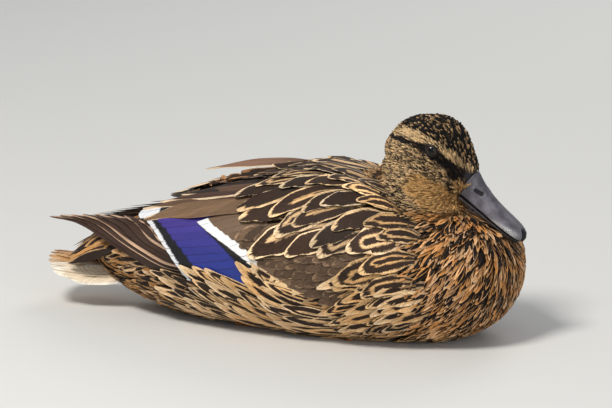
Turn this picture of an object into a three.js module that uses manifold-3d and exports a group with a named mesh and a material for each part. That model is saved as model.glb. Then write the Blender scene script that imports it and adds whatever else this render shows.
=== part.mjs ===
// A female mallard duck at rest on its belly, life size, as a still museum model.
// Millimetres. +X runs from tail to breast, +Y to the duck's left, +Z up, and the floor is z = 0.
// The origin is on the floor, on the flat of the belly, in the duck's plane of symmetry.
import * as THREE from "three";
import { mergeVertices } from "three/addons/utils/BufferGeometryUtils.js";
import Module from "manifold-3d";

const wasm = await Module();
wasm.setup();

// ---------------------------------------------------------------- driving dimensions
const GAP = 0.35; // clearance left between neighbouring solids
const RIGHT = -1; // sign of Y on the duck's right side
const LEFT = 1;

const BILL_BASE = { x: 103.5, z: 97.5 }; // where the bill's cutting edge leaves the feathers
const HEAD_PITCH = 38; // degrees that the bill points below the horizontal
const EYE = { radius: 5.1, back: 31, up: 10.6, out: 15.3 }; // from the bill's base
const NAIL = { length: 7.5, half: 4.6 };
const FOOT = { hock: -44, knuckle: 0, toes: 46, out: 27, height: 3 };

// ---------------------------------------------------------------- curves
// A smooth curve through named stations that never overshoots them (monotone cubic).
function track(stations, key, value) {
  const xs = stations.map((s) => s[key]);
  const ys = stations.map((s) => s[value]);
  const slopes = xs.slice(1).map((x, i) => (ys[i + 1] - ys[i]) / (x - xs[i]));
  const tangents = xs.map((_, i) => {
    const before = slopes[i - 1] ?? slopes[0];
    const after = slopes[i] ?? slopes[slopes.length - 1];
    return before * after <= 0 ? 0 : (2 * before * after) / (before + after);
  });
  return (x) => {
    let i = xs.findIndex((_, k) => k > 0 && (x - xs[k]) * (xs[k - 1] - xs[k]) >= 0) - 1;
    if (i < 0) i = (x - xs[0]) * (xs[1] - xs[0]) < 0 ? 0 : xs.length - 2;
    const span = xs[i + 1] - xs[i];
    const t = Math.min(1, Math.max(0, (x - xs[i]) / span));
    return (
      ys[i] * (1 + 2 * t) * (1 - t) ** 2 +
      ys[i + 1] * t * t * (3 - 2 * t) +
      span * (tangents[i] * t * (1 - t) ** 2 - tangents[i + 1] * t * t * (1 - t))
    );
  };
}

// Every value of the stations as one function: tracks(stations, "x")(x).top and so on.
function tracks(stations, key) {
  const names = Object.keys(stations[0]).filter((name) => name !== key);
  const curves = names.map((name) => track(stations, key, name));
  return (x) => Object.fromEntries(names.map((name, i) => [name, curves[i](x)]));
}

const signedPower = (value, power) => Math.sign(value) * Math.abs(value) ** power;

// A point on a superellipse with its own height above and below its widest level.
function ovalPoint({ half, top, bottom, level, square }, angle) {
  const across = signedPower(Math.cos(angle), 2 / square) * half;
  const rise = signedPower(Math.sin(angle), 2 / square);
  return [across, level + rise * (rise > 0 ? top - level : level - bottom)];
}

// ---------------------------------------------------------------- solids
const manifoldOf = (vertProperties, triVerts) =>
  new wasm.Manifold(new wasm.Mesh({ numProp: 3, vertProperties, triVerts }));

// A closed skin over rings of equal length, each a list of THREE.Vector3.
function loft(rings) {
  const sides = rings[0].length;
  const points = rings.flat();
  const faces = [];
  for (let i = 0; i + 1 < rings.length; i++)
    for (let j = 0; j < sides; j++) {
      const a = i * sides + j;
      const b = i * sides + ((j + 1) % sides);
      faces.push(a, b, b + sides, a, b + sides, a + sides);
    }
  for (const end of [0, rings.length - 1]) {
    const centre = new THREE.Vector3();
    rings[end].forEach((p) => centre.addScaledVector(p, 1 / sides));
    points.push(centre);
    for (let j = 0; j < sides; j++) {
      const a = end * sides + j;
      const b = end * sides + ((j + 1) % sides);
      faces.push(points.length - 1, ...(end ? [a, b] : [b, a]));
    }
  }
  const vertProperties = new Float32Array(points.flatMap((p) => p.toArray()));
  const solid = manifoldOf(vertProperties, new Uint32Array(faces));
  return solid.volume() > 0 ? solid : manifoldOf(vertProperties, new Uint32Array(faces.reverse()));
}

// A loft of ovals whose place and size follow stations, with more rings where the ends round off.
function ovalLoft(stations, key, { rings, sides, place, grow = 0 }) {
  const at = tracks(stations, key);
  const first = stations[0][key];
  const last = stations[stations.length - 1][key];
  const list = [];
  for (let i = 0; i <= rings; i++) {
    const s = 0.5 - 0.5 * Math.cos((Math.PI * i) / rings);
    const along = first + (last - first) * (0.55 * s + (0.45 * i) / rings);
    const oval = at(along);
    oval.half += grow;
    oval.top += grow;
    oval.bottom -= grow;
    list.push(
      Array.from({ length: sides }, (_, j) => {
        const [across, up] = ovalPoint(oval, (2 * Math.PI * (j + 0.5)) / sides);
        return place(along, across, up);
      }),
    );
  }
  return loft(list);
}

// Any three.js geometry as a solid.
function solidOf(geometry, matrix) {
  const bare = (geometry.index ? geometry.toNonIndexed() : geometry).clone();
  bare.deleteAttribute("normal");
  bare.deleteAttribute("uv");
  if (matrix) bare.applyMatrix4(matrix);
  const merged = mergeVertices(bare, 1e-4);
  return manifoldOf(merged.attributes.position.array, new Uint32Array(merged.index.array));
}

// An outline in the XZ plane, extruded through the whole of one side of the duck.
function sidePrism(corners, side) {
  const DEPTH = 120;
  const PAST_CENTRE = 12;
  const outline = new THREE.Shape(corners.map(([x, z]) => new THREE.Vector2(x, z)));
  const slab = new THREE.ExtrudeGeometry(outline, { depth: DEPTH, bevelEnabled: false });
  const turn = new THREE.Matrix4().makeRotationX(Math.PI / 2);
  const shift = new THREE.Matrix4().makeTranslation(0, side > 0 ? DEPTH - PAST_CENTRE : PAST_CENTRE, 0);
  return solidOf(slab, shift.multiply(turn));
}

function meshOf(name, solid, material) {
  const { numProp, vertProperties, triVerts } = solid.getMesh();
  const positions = new Float32Array((vertProperties.length / numProp) * 3);
  for (let i = 0; i * 3 < positions.length; i++)
    positions.set(vertProperties.subarray(i * numProp, i * numProp + 3), i * 3);
  const geometry = new THREE.BufferGeometry();
  geometry.setAttribute("position", new THREE.BufferAttribute(positions, 3));
  geometry.setIndex(new THREE.BufferAttribute(new Uint32Array(triVerts), 1));
  geometry.computeVertexNormals();
  const mesh = new THREE.Mesh(geometry, material);
  mesh.name = name;
  return mesh;
}

// ---------------------------------------------------------------- materials
const paint = (color, roughness = 0.85) =>
  new THREE.MeshStandardMaterial({ color, roughness, metalness: 0 });
const plumageMat = paint(0x8a6640);
const headMat = paint(0x8f7450);
const wingMat = paint(0x6f543a);
const speculumMat = paint(0x3f3f96, 0.45);
const primaryMat = paint(0x4a372b);
const tailMat = paint(0xd9cbb2);
const billMat = paint(0x6b6772, 0.4);
const lowerBillMat = paint(0x7a6238, 0.5);
const nailMat = paint(0x1a181a, 0.35);
const eyeMat = paint(0x120c08, 0.1);
const footMat = paint(0xb8632a, 0.6);

// ---------------------------------------------------------------- trunk
// Half width, back, belly and widest level from the rump to the breast, plumage included.
const TRUNK = [
  { x: -158, half: 6, top: 47, bottom: 35, level: 41, square: 2 },
  { x: -152, half: 15, top: 50, bottom: 27, level: 39, square: 2 },
  { x: -143, half: 23, top: 53, bottom: 19, level: 37, square: 2 },
  { x: -128, half: 31, top: 59, bottom: 10, level: 36, square: 2 },
  { x: -100, half: 43, top: 74, bottom: 1, level: 37, square: 2.05 },
  { x: -65, half: 54, top: 88, bottom: -4, level: 40, square: 2.15 },
  { x: -26, half: 62, top: 99, bottom: -6, level: 42, square: 2.2 },
  { x: 10, half: 65.5, top: 108.5, bottom: -7, level: 43, square: 2.2 },
  { x: 45, half: 65, top: 103.5, bottom: -7, level: 44, square: 2.2 },
  { x: 75, half: 61, top: 96, bottom: -6, level: 45, square: 2.2 },
  { x: 100, half: 54.5, top: 88, bottom: -2, level: 46, square: 2.15 },
  { x: 120, half: 45.5, top: 80, bottom: 7, level: 46, square: 2.1 },
  { x: 132, half: 34, top: 72.5, bottom: 18, level: 46, square: 2.05 },
  { x: 139, half: 21, top: 64.5, bottom: 30, level: 46.5, square: 2 },
  { x: 142, half: 7, top: 54, bottom: 40, level: 47, square: 2 },
];

function trunkLoft(grow = 0) {
  return ovalLoft(TRUNK, "x", {
    rings: 22,
    sides: 24,
    grow,
    place: (x, y, z) => new THREE.Vector3(x, y, z),
  });
}

// ---------------------------------------------------------------- neck
// Drawn in between the shoulders: half length along X, half width along Y.
const NECK = [
  { z: 66, x: 64, long: 40, wide: 36 },
  { z: 84, x: 70.5, long: 31, wide: 27.5 },
  { z: 98, x: 71.5, long: 27.5, wide: 23.5 },
  { z: 112, x: 72, long: 24, wide: 20.5 },
  { z: 120, x: 73, long: 21, wide: 18 },
];

function neckLoft(grow = 0) {
  const RINGS = 7;
  const SIDES = 20;
  const at = tracks(NECK, "z");
  const list = [];
  for (let i = 0; i <= RINGS; i++) {
    const z = NECK[0].z + ((NECK[NECK.length - 1].z - NECK[0].z) * i) / RINGS;
    const { x, long, wide } = at(z);
    list.push(
      Array.from({ length: SIDES }, (_, j) => {
        const angle = (2 * Math.PI * j) / SIDES;
        return new THREE.Vector3(
          x + (long + grow) * Math.cos(angle),
          (wide + grow) * Math.sin(angle),
          z,
        );
      }),
    );
  }
  return loft(list);
}

// ---------------------------------------------------------------- head
// A point of the head's own frame: forward along the bill, out to the left, up from the cutting edge.
const pitch = THREE.MathUtils.degToRad(HEAD_PITCH);
function headPoint(forward, out, up) {
  return new THREE.Vector3(
    BILL_BASE.x + forward * Math.cos(pitch) + up * Math.sin(pitch),
    out,
    BILL_BASE.z - forward * Math.sin(pitch) + up * Math.cos(pitch),
  );
}

const HEAD = [
  { t: -58.5, half: 4.5, top: 4, bottom: -8, level: -2, square: 2 },
  { t: -56.5, half: 11, top: 10.5, bottom: -14, level: -1, square: 2 },
  { t: -51.5, half: 16.2, top: 19, bottom: -20, level: 1, square: 2 },
  { t: -45, half: 19.4, top: 25.6, bottom: -24, level: 3, square: 2.05 },
  { t: -37, half: 20.8, top: 29.8, bottom: -25, level: 4, square: 2.1 },
  { t: -28, half: 20.2, top: 30.4, bottom: -22.5, level: 4.5, square: 2.1 },
  { t: -19, half: 17.5, top: 27, bottom: -18, level: 4, square: 2.1 },
  { t: -10, half: 14, top: 21.8, bottom: -13, level: 3, square: 2.1 },
  { t: -3, half: 11.2, top: 17.6, bottom: -9, level: 2, square: 2.1 },
  { t: 2, half: 9.4, top: 14.6, bottom: -6.8, level: 1.5, square: 2.1 },
];

function headLoft(grow = 0) {
  return ovalLoft(HEAD, "t", { rings: 16, sides: 22, grow, place: headPoint });
}

// ---------------------------------------------------------------- bill
// The upper half is high and narrow at its base and a broad flat spoon at its tip.
const UPPER_BILL = [
  { t: -2, half: 9.7, top: 15.8, bottom: -3, level: -1.2, square: 1.75 },
  { t: 4.5, half: 9.2, top: 12.4, bottom: -2.8, level: -1, square: 1.8 },
  { t: 11, half: 9.1, top: 10.2, bottom: -2.6, level: -0.8, square: 1.9 },
  { t: 19, half: 9.6, top: 8.4, bottom: -2.2, level: -0.4, square: 2 },
  { t: 28, half: 10.7, top: 7.1, bottom: -1.5, level: 0.2, square: 2.15 },
  { t: 36, half: 11.4, top: 6.4, bottom: -0.8, level: 0.9, square: 2.25 },
  { t: 42, half: 10.8, top: 5.9, bottom: -0.6, level: 1.2, square: 2.2 },
  { t: 46, half: 8.4, top: 5.1, bottom: -0.8, level: 1.2, square: 2.1 },
  { t: 48.6, half: 4.8, top: 3.8, bottom: -0.8, level: 1, square: 2 },
  { t: 49.6, half: 2, top: 2.4, bottom: -0.4, level: 0.9, square: 2 },
];
const LOWER_BILL = [
  { t: 0, half: 8.4, top: -3.4, bottom: -7, level: -4.2, square: 2 },
  { t: 12, half: 8.1, top: -2.8, bottom: -6, level: -3.6, square: 2 },
  { t: 26, half: 8.9, top: -2, bottom: -4.8, level: -2.8, square: 2 },
  { t: 38, half: 9.3, top: -1.2, bottom: -3.6, level: -2, square: 2 },
  { t: 44.5, half: 6.8, top: -1.2, bottom: -3, level: -1.8, square: 2 },
  { t: 48, half: 2.5, top: -1.3, bottom: -2.5, level: -1.9, square: 2 },
];

function upperBillLoft(grow = 0) {
  return ovalLoft(UPPER_BILL, "t", { rings: 14, sides: 16, grow, place: headPoint });
}

function lowerBillLoft(grow = 0) {
  return ovalLoft(LOWER_BILL, "t", { rings: 8, sides: 10, grow, place: headPoint });
}

// ---------------------------------------------------------------- wings
// The folded wing lies on a hull of ovals. It covers them from the angle low to the angle high,
// counted from the outer side towards the back, and is thick at the arm and thin at the quills.
const WING = [
  { x: -194, half: 6, top: 56, bottom: 50, level: 52.5, low: 20, high: 60, thick: 0.9, shift: -2 },
  { x: -184, half: 9, top: 60, bottom: 46, level: 53, low: 10, high: 72, thick: 1.4, shift: -2 },
  { x: -165, half: 17, top: 62.5, bottom: 40, level: 51, low: 16, high: 76, thick: 2.2, shift: 0 },
  { x: -140, half: 28.5, top: 67, bottom: 28, level: 48.5, low: -3, high: 74, thick: 3, shift: 0 },
  { x: -110, half: 43, top: 77, bottom: 16, level: 46, low: -8, high: 76, thick: 3.6, shift: 0 },
  { x: -78, half: 53.5, top: 89, bottom: 5, level: 45, low: -16, high: 78, thick: 4.6, shift: 0 },
  { x: -34, half: 63, top: 100.5, bottom: -2, level: 45, low: -24, high: 77, thick: 6.5, shift: 0 },
  { x: 10, half: 67, top: 109.5, bottom: -4, level: 45, low: -26, high: 74, thick: 8, shift: 0 },
  { x: 48, half: 66.6, top: 105, bottom: -4, level: 45, low: -22, high: 66, thick: 8, shift: 0 },
  { x: 76, half: 62.6, top: 97, bottom: -2, level: 45, low: -12, high: 52, thick: 6, shift: 0 },
  { x: 92, half: 58, top: 89, bottom: 0, level: 45, low: 5, high: 30, thick: 2.5, shift: 0 },
];
const LEFT_TIP_DROP = 7; // the left wing's tip lies under the right one's
const wingAt = tracks(WING, "x");

// One wing as a curved plate. grow makes the cutter that leaves its place clear in the trunk.
function wingPlate(side, grow = 0) {
  const RINGS = 18;
  const ARC = 6;
  const outreach = grow > 0 ? 8 : 0; // a cutter reaches well past the trunk's surface
  const first = WING[0].x - grow;
  const last = WING[WING.length - 1].x + grow;
  const list = [];
  for (let i = 0; i <= RINGS; i++) {
    const x = first + ((last - first) * i) / RINGS;
    const oval = { ...wingAt(x), square: 2.12 };
    const tip = THREE.MathUtils.smoothstep(-x, 110, 201);
    const drop = side === LEFT ? LEFT_TIP_DROP * tip : 0;
    const spread = THREE.MathUtils.radToDeg(grow / Math.max(oval.half, 6));
    const low = oval.low - spread;
    const high = oval.high + spread;
    const ring = [];
    for (const face of [1, -1])
      for (let j = 0; j <= ARC; j++) {
        const share = face > 0 ? j / ARC : 1 - j / ARC;
        const angle = THREE.MathUtils.degToRad(low + (high - low) * share);
        const taper = 0.45 + 0.55 * Math.sin(Math.PI * share) ** 0.6;
        const inset = face > 0 ? -outreach : oval.thick * taper + grow;
        const shrink = 1 - inset / Math.max(oval.half, 10);
        const [out, z] = ovalPoint(oval, angle);
        const y = out * shrink;
        const up = oval.level + (z - oval.level) * shrink;
        ring.push(new THREE.Vector3(x, side * y + oval.shift * side, up - drop));
      }
    list.push(ring);
  }
  return loft(list);
}

// Corners in the XZ plane that part the wing into its groups of feathers.
const SPECULUM = {
  backTop: [-116, 69],
  frontTop: [-56, 74],
  frontLow: [-25, 47],
  backLow: [-72, 34],
};
const TERTIAL_FRONT = [-30, 80]; // where the tertials come out from under the scapulars
const FAR = 240; // beyond the wing, whichever way

function wingGroups(side) {
  const { backTop, frontTop, frontLow, backLow } = SPECULUM;
  const underBack = [backLow[0] + 14, -FAR];
  const underFront = [frontLow[0] + 12, -FAR];
  const overFront = [TERTIAL_FRONT[0] + 22, FAR];
  const overBack = [backTop[0] - 23, FAR];
  const shifted = (corners, dx, dz) => corners.map(([x, z]) => [x + dx, z + dz]);
  const primaries = [[-FAR, -FAR], underBack, backLow, backTop, overBack, [-FAR, FAR]];
  const secondaries = [backTop, backLow, underBack, underFront, frontLow, frontTop];
  const tertials = [backTop, frontTop, TERTIAL_FRONT, overFront, overBack];
  const flight = [[-FAR, -FAR], underFront, frontLow, frontTop, TERTIAL_FRONT, overFront, [-FAR, FAR]];
  const plate = wingPlate(side);
  return {
    wing: plate.subtract(sidePrism(shifted(flight, GAP, 0), side)),
    tertials: plate.intersect(sidePrism(shifted(tertials, 0, GAP), side)),
    secondaries: plate.intersect(sidePrism(secondaries, side)),
    primaries: plate.intersect(sidePrism(shifted(primaries, -GAP, 0), side)),
  };
}

// One long feather of the far wing that stands off the back.
const LIFTED = {
  root: [-10, 21, 100.5],
  middle: [-48, 25, 98.8],
  tip: [-90, 26, 88.5],
  half: 7.5,
  thick: 1.2,
  tilt: 0.15,
};
function liftedTertial() {
  const { root, middle, tip, half, thick, tilt } = LIFTED;
  const line = new THREE.CatmullRomCurve3([root, middle, tip].map((p) => new THREE.Vector3(...p)));
  const RINGS = 8;
  const SIDES = 8;
  const list = [];
  for (let i = 0; i <= RINGS; i++) {
    const s = i / RINGS;
    const centre = line.getPoint(s);
    const wide = half * Math.min(1, 0.55 + 1.6 * s) * Math.sqrt(Math.max(0.03, 1 - s ** 5));
    list.push(
      Array.from({ length: SIDES }, (_, j) => {
        const angle = (2 * Math.PI * j) / SIDES;
        const across = Math.cos(angle) * wide;
        const up = (Math.sin(angle) * thick) / 2;
        return new THREE.Vector3(centre.x, centre.y + across, centre.z + up - across * tilt);
      }),
    );
  }
  return loft(list);
}

// ---------------------------------------------------------------- tail
const TAIL = [
  { x: -194, half: 8, thick: 1.2, z: 29, droop: 1 },
  { x: -190.5, half: 18, thick: 1.5, z: 29.5, droop: 4 },
  { x: -182, half: 26, thick: 2, z: 30.8, droop: 8 },
  { x: -166, half: 31.5, thick: 3, z: 33.4, droop: 11.5 },
  { x: -148, half: 30, thick: 6, z: 36.5, droop: 10.5 },
  { x: -130, half: 26, thick: 10, z: 40, droop: 8 },
  { x: -114, half: 22, thick: 14, z: 43, droop: 4 },
];
function tailFan() {
  const RINGS = 12;
  const SIDES = 18;
  const at = tracks(TAIL, "x");
  const list = [];
  for (let i = 0; i <= RINGS; i++) {
    const share = i / RINGS;
    const x = TAIL[0].x + (TAIL[TAIL.length - 1].x - TAIL[0].x) * share ** 1.25;
    const { half, thick, z, droop } = at(x);
    list.push(
      Array.from({ length: SIDES }, (_, j) => {
        const angle = (2 * Math.PI * (j + 0.5)) / SIDES;
        const across = signedPower(Math.cos(angle), 0.9);
        const rise = (Math.sin(angle) * thick) / 2;
        return new THREE.Vector3(x, across * half, z + rise - droop * across * across);
      }),
    );
  }
  return loft(list);
}

// ---------------------------------------------------------------- legs
const floorCut = solidOf(new THREE.BoxGeometry(600, 300, 40).translate(0, 0, -20));

// The shank lies forward under the belly and the webbed foot is flat on the floor.
function shank(side, grow = 0) {
  const RADIUS = 3.3 + grow;
  const length = FOOT.knuckle - FOOT.hock - 6;
  const capsule = new THREE.CapsuleGeometry(RADIUS, length, 3, 10);
  const place = new THREE.Matrix4()
    .makeTranslation(FOOT.hock + length / 2, side * FOOT.out, 3)
    .multiply(new THREE.Matrix4().makeRotationZ(Math.PI / 2));
  return solidOf(capsule, place).subtract(floorCut);
}

// Three toes spread from the knuckle, each with a claw at its end, and the web between them.
const TOES = [
  { turn: -20, reach: 0.86 },
  { turn: -1, reach: 1 },
  { turn: 17, reach: 0.9 },
];
function foot(side, grow = 0) {
  const SINK = 2; // below the floor, and cut off there
  const length = FOOT.toes - FOOT.knuckle;
  const tips = TOES.map(({ turn, reach }) => {
    const angle = THREE.MathUtils.degToRad(turn * side);
    return [FOOT.knuckle + length * reach * Math.cos(angle), length * reach * Math.sin(angle)];
  });
  const outline = new THREE.Shape();
  outline.moveTo(FOOT.knuckle - 2, -2.5 * side);
  tips.forEach(([x, y], i) => {
    const [beforeX, beforeY] = tips[i - 1] ?? [x, y];
    outline.quadraticCurveTo((x + beforeX) / 2 - 5, (y + beforeY) / 2, x - 1.5, y);
  });
  outline.lineTo(FOOT.knuckle - 2, 2.5 * side);
  const depth = SINK + 1.2 + grow;
  const web = solidOf(
    new THREE.ExtrudeGeometry(outline, {
      depth,
      curveSegments: 4,
      bevelSize: 0.4 + grow,
      bevelThickness: 0.4,
      bevelSegments: 1,
    }),
    new THREE.Matrix4().makeTranslation(0, side * FOOT.out, -SINK),
  );
  const toes = tips.map(([x, y]) => {
    const reach = Math.hypot(x - FOOT.knuckle, y);
    const toe = new THREE.CylinderGeometry(1.1 + grow, 2.3 + grow, reach + 2 * grow, 8, 3);
    const aim = new THREE.Matrix4()
      .makeTranslation((x + FOOT.knuckle) / 2, side * FOOT.out + y / 2, 0.7)
      .multiply(new THREE.Matrix4().makeRotationZ(Math.atan2(y, x - FOOT.knuckle) - Math.PI / 2));
    return solidOf(toe, aim);
  });
  return toes.reduce((whole, toe) => whole.add(toe), web).subtract(floorCut);
}

// ---------------------------------------------------------------- assembly
// The nail is the hard tip of the upper bill, cut out of it by an ellipsoid.
const BILL_TIP = UPPER_BILL[UPPER_BILL.length - 1].t;
function nailCut(grow = 0) {
  const size = [NAIL.length + grow, NAIL.half + grow, 6 + grow];
  const matrix = new THREE.Matrix4()
    .makeTranslation(...headPoint(BILL_TIP, 0, 1.6).toArray())
    .multiply(new THREE.Matrix4().makeRotationY(pitch))
    .multiply(new THREE.Matrix4().makeScale(...size));
  return solidOf(new THREE.SphereGeometry(1, 12, 6), matrix);
}

function eyeBall(side, grow = 0) {
  const { x, y, z } = headPoint(-EYE.back, side * EYE.out, EYE.up);
  return solidOf(new THREE.SphereGeometry(EYE.radius + grow, 12, 8).translate(x, y, z));
}

const group = new THREE.Group();
const add = (name, solid, material) => group.add(meshOf(name, solid, material));
const without = (solid, ...cutters) => cutters.reduce((rest, cutter) => rest.subtract(cutter), solid);

const SIDES = [
  { side: RIGHT, name: "right" },
  { side: LEFT, name: "left" },
];
const headRoom = headLoft(GAP);
const upperBillRoom = upperBillLoft(GAP);
const lowerBillRoom = lowerBillLoft(GAP);
const trunkRoom = trunkLoft(GAP);

add("bill_upper", without(upperBillLoft(), lowerBillLoft(), nailCut(GAP)), billMat);
add("bill_nail", upperBillLoft().intersect(nailCut()), nailMat);
add("bill_lower", without(lowerBillLoft(), upperBillRoom), lowerBillMat);

const sockets = SIDES.map(({ side }) => eyeBall(side, GAP));
add("head", without(headLoft(), upperBillRoom, lowerBillRoom, ...sockets), headMat);
add("neck", without(neckLoft(), headRoom, upperBillRoom, lowerBillRoom, trunkRoom), headMat);

const trunkCutters = [headRoom, upperBillRoom, lowerBillRoom, floorCut];
for (const { side, name } of SIDES) {
  const groups = wingGroups(side);
  add(`eye_${name}`, eyeBall(side), eyeMat);
  add(`wing_${name}`, groups.wing, wingMat);
  add(`tertials_${name}`, groups.tertials, wingMat);
  add(`secondaries_${name}`, groups.secondaries, speculumMat);
  add(`primaries_${name}`, groups.primaries, primaryMat);
  add(`leg_${name}`, without(shank(side), foot(side, GAP)), footMat);
  add(`foot_${name}`, foot(side), footMat);
  trunkCutters.push(wingPlate(side, GAP), shank(side, GAP), foot(side, GAP));
}
add("tertial_left_lifted", without(liftedTertial(), wingPlate(LEFT, GAP), trunkRoom), wingMat);
add("tail", without(tailFan(), trunkRoom), tailMat);
add("trunk", without(trunkLoft(), ...trunkCutters), plumageMat);

export default group;
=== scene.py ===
"""A female mallard resting on its belly: skin, coat, wing and tail feathers, bill, eyes and feet,
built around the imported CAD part. Blender's own values are in metres, and the bird's measures in
millimetres and degrees. +X is towards the breast, +Y the duck's left, +Z up."""

import math

import bmesh
import bpy
import numpy as np
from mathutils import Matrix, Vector
from mathutils.bvhtree import BVHTree
from mathutils.kdtree import KDTree


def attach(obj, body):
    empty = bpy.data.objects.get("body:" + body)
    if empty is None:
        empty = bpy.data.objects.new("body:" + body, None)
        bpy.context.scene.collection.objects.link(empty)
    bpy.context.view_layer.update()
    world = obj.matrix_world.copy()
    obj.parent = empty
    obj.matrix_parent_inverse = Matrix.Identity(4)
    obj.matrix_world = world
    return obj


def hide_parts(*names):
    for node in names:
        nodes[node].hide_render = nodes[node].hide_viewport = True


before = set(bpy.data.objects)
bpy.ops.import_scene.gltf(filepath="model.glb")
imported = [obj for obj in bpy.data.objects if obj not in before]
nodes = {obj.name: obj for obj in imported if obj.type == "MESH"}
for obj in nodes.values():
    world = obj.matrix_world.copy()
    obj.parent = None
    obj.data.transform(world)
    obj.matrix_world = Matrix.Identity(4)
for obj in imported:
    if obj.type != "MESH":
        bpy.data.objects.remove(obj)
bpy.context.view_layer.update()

MM = 0.001
SIDES = {"right": -1.0, "left": 1.0}
AXIS_HEIGHT = 45.0  # of the line about which turns are measured
RAY_REACH = 0.12  # how far along a ray that misses the nearest place is looked for
RAY_START = 0.15  # how far outside that line the rays begin
LOWEST = 0.0002  # no feather reaches below this height
rng = np.random.default_rng(7)


# ------------------------------------------------------------------ camera, lights and floor
VIEW_AZIMUTH = math.radians(21.0)
VIEW_ELEVATION = math.radians(15.0)
DISTANCE = 2.6
PX_PER_M = 1520.0
PICTURE = (612, 408)
ORIGIN_PX = (316, 321)  # where the frame's origin falls in the picture
SENSOR = 36.0
FARTHEST = 20.0
LIT_POINT = (0, 0, 0.06)
SKY = ((0.86, 0.92, 1.0), 0.36)
# place, width of the disk, watts and colour of each lamp
LAMPS = {
    "key": ((-0.35, -1.1, 1.7), 0.6, 31, (1.0, 0.97, 0.92)),
    "fill": ((1.6, -1.4, 0.7), 1.2, 7, (0.92, 0.96, 1.0)),
    "back": ((0.1, 1.7, 1.2), 1.0, 9, (1.0, 0.98, 0.95)),
}


def make_camera():
    az, el = VIEW_AZIMUTH, VIEW_ELEVATION
    right = Vector((math.cos(az), math.sin(az), 0))
    up = Vector((-math.sin(az) * math.sin(el), math.cos(az) * math.sin(el), math.cos(el)))
    aim = right * ((PICTURE[0] / 2 - ORIGIN_PX[0]) / PX_PER_M)
    aim += up * ((ORIGIN_PX[1] - PICTURE[1] / 2) / PX_PER_M)
    data = bpy.data.cameras.new("camera")
    data.sensor_width = SENSOR
    data.lens = SENSOR * DISTANCE * PX_PER_M / PICTURE[0]
    data.clip_end = FARTHEST
    camera = aimed("camera", data, right.cross(up) * DISTANCE, aim)
    bpy.context.scene.camera = camera


def aimed(name, data, place, aim):
    """A camera or a lamp in the scene, at a place and turned to look at another."""
    obj = bpy.data.objects.new(name, data)
    obj.location = place
    obj.rotation_euler = (Vector(aim) - Vector(place)).to_track_quat("-Z", "Y").to_euler()
    bpy.context.scene.collection.objects.link(obj)
    return obj


def make_lights():
    bpy.context.scene.view_settings.view_transform = "Standard"
    world = bpy.data.worlds.new("studio")
    world.use_nodes = True
    background = world.node_tree.nodes["Background"]
    background.inputs["Color"].default_value = (*SKY[0], 1)
    background.inputs["Strength"].default_value = SKY[1]
    bpy.context.scene.world = world
    for name, (place, width, watts, colour) in LAMPS.items():
        data = bpy.data.lights.new(name, "AREA")
        data.shape = "DISK"
        data.size = width
        data.energy = watts
        data.color = colour
        aimed(name, data, place, LIT_POINT)


def make_floor():
    bpy.ops.mesh.primitive_plane_add(size=30, location=(0, 0, 0))
    floor = bpy.context.object
    floor.name = "floor"
    mat = bpy.data.materials.new("floor")
    mat.use_nodes = True
    shader = mat.node_tree.nodes["Principled BSDF"]
    shader.inputs["Base Color"].default_value = (0.72, 0.71, 0.68, 1)
    shader.inputs["Roughness"].default_value = 0.85
    floor.data.materials.append(mat)


# ------------------------------------------------------------------ meshes from CAD nodes
def mesh_arrays(obj):
    mesh = obj.data
    verts = np.empty(len(mesh.vertices) * 3)
    mesh.vertices.foreach_get("co", verts)
    mesh.calc_loop_triangles()
    tris = np.empty(len(mesh.loop_triangles) * 3, dtype=np.int32)
    mesh.loop_triangles.foreach_get("vertices", tris)
    return verts.reshape(-1, 3), tris.reshape(-1, 3)


def joined(names):
    """The named CAD nodes' meshes as one array of vertices and one of triangles."""
    verts, tris, start = [], [], 0
    for name in names:
        v, t = mesh_arrays(nodes[name])
        verts.append(v)
        tris.append(t + start)
        start += len(v)
    return np.concatenate(verts), np.concatenate(tris)


def new_object(name, verts, faces):
    """A smooth mesh object from arrays; faces are rows of three or four vertex numbers."""
    faces = np.asarray(faces, dtype=np.int32)
    corners = faces.shape[1]
    mesh = bpy.data.meshes.new(name)
    mesh.vertices.add(len(verts))
    mesh.vertices.foreach_set("co", np.asarray(verts, dtype=np.float32).ravel())
    mesh.loops.add(faces.size)
    mesh.loops.foreach_set("vertex_index", faces.ravel())
    mesh.polygons.add(len(faces))
    mesh.polygons.foreach_set("loop_start", np.arange(0, faces.size, corners, dtype=np.int32))
    mesh.update(calc_edges=True)
    mesh.polygons.foreach_set("use_smooth", np.ones(len(faces), dtype=bool))
    obj = bpy.data.objects.new(name, mesh)
    bpy.context.scene.collection.objects.link(obj)
    return obj


def set_verts(obj, verts):
    obj.data.vertices.foreach_set("co", verts.astype(np.float32).ravel())
    obj.data.update()


def hold_colours(obj, name, values):
    """Keeps four numbers for each vertex as an attribute that a material can read."""
    held = obj.data.attributes.new(name, "FLOAT_COLOR", "POINT")
    held.data.foreach_set("color", values.astype(np.float32).ravel())


def apply_modifiers(obj):
    depsgraph = bpy.context.evaluated_depsgraph_get()
    baked = bpy.data.meshes.new_from_object(obj.evaluated_get(depsgraph))
    old = obj.data
    obj.modifiers.clear()
    obj.data = baked
    bpy.data.meshes.remove(old)


def vertex_normals(obj):
    normals = np.empty(len(obj.data.vertices) * 3)
    obj.data.vertices.foreach_get("normal", normals)
    return normals.reshape(-1, 3)


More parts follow.
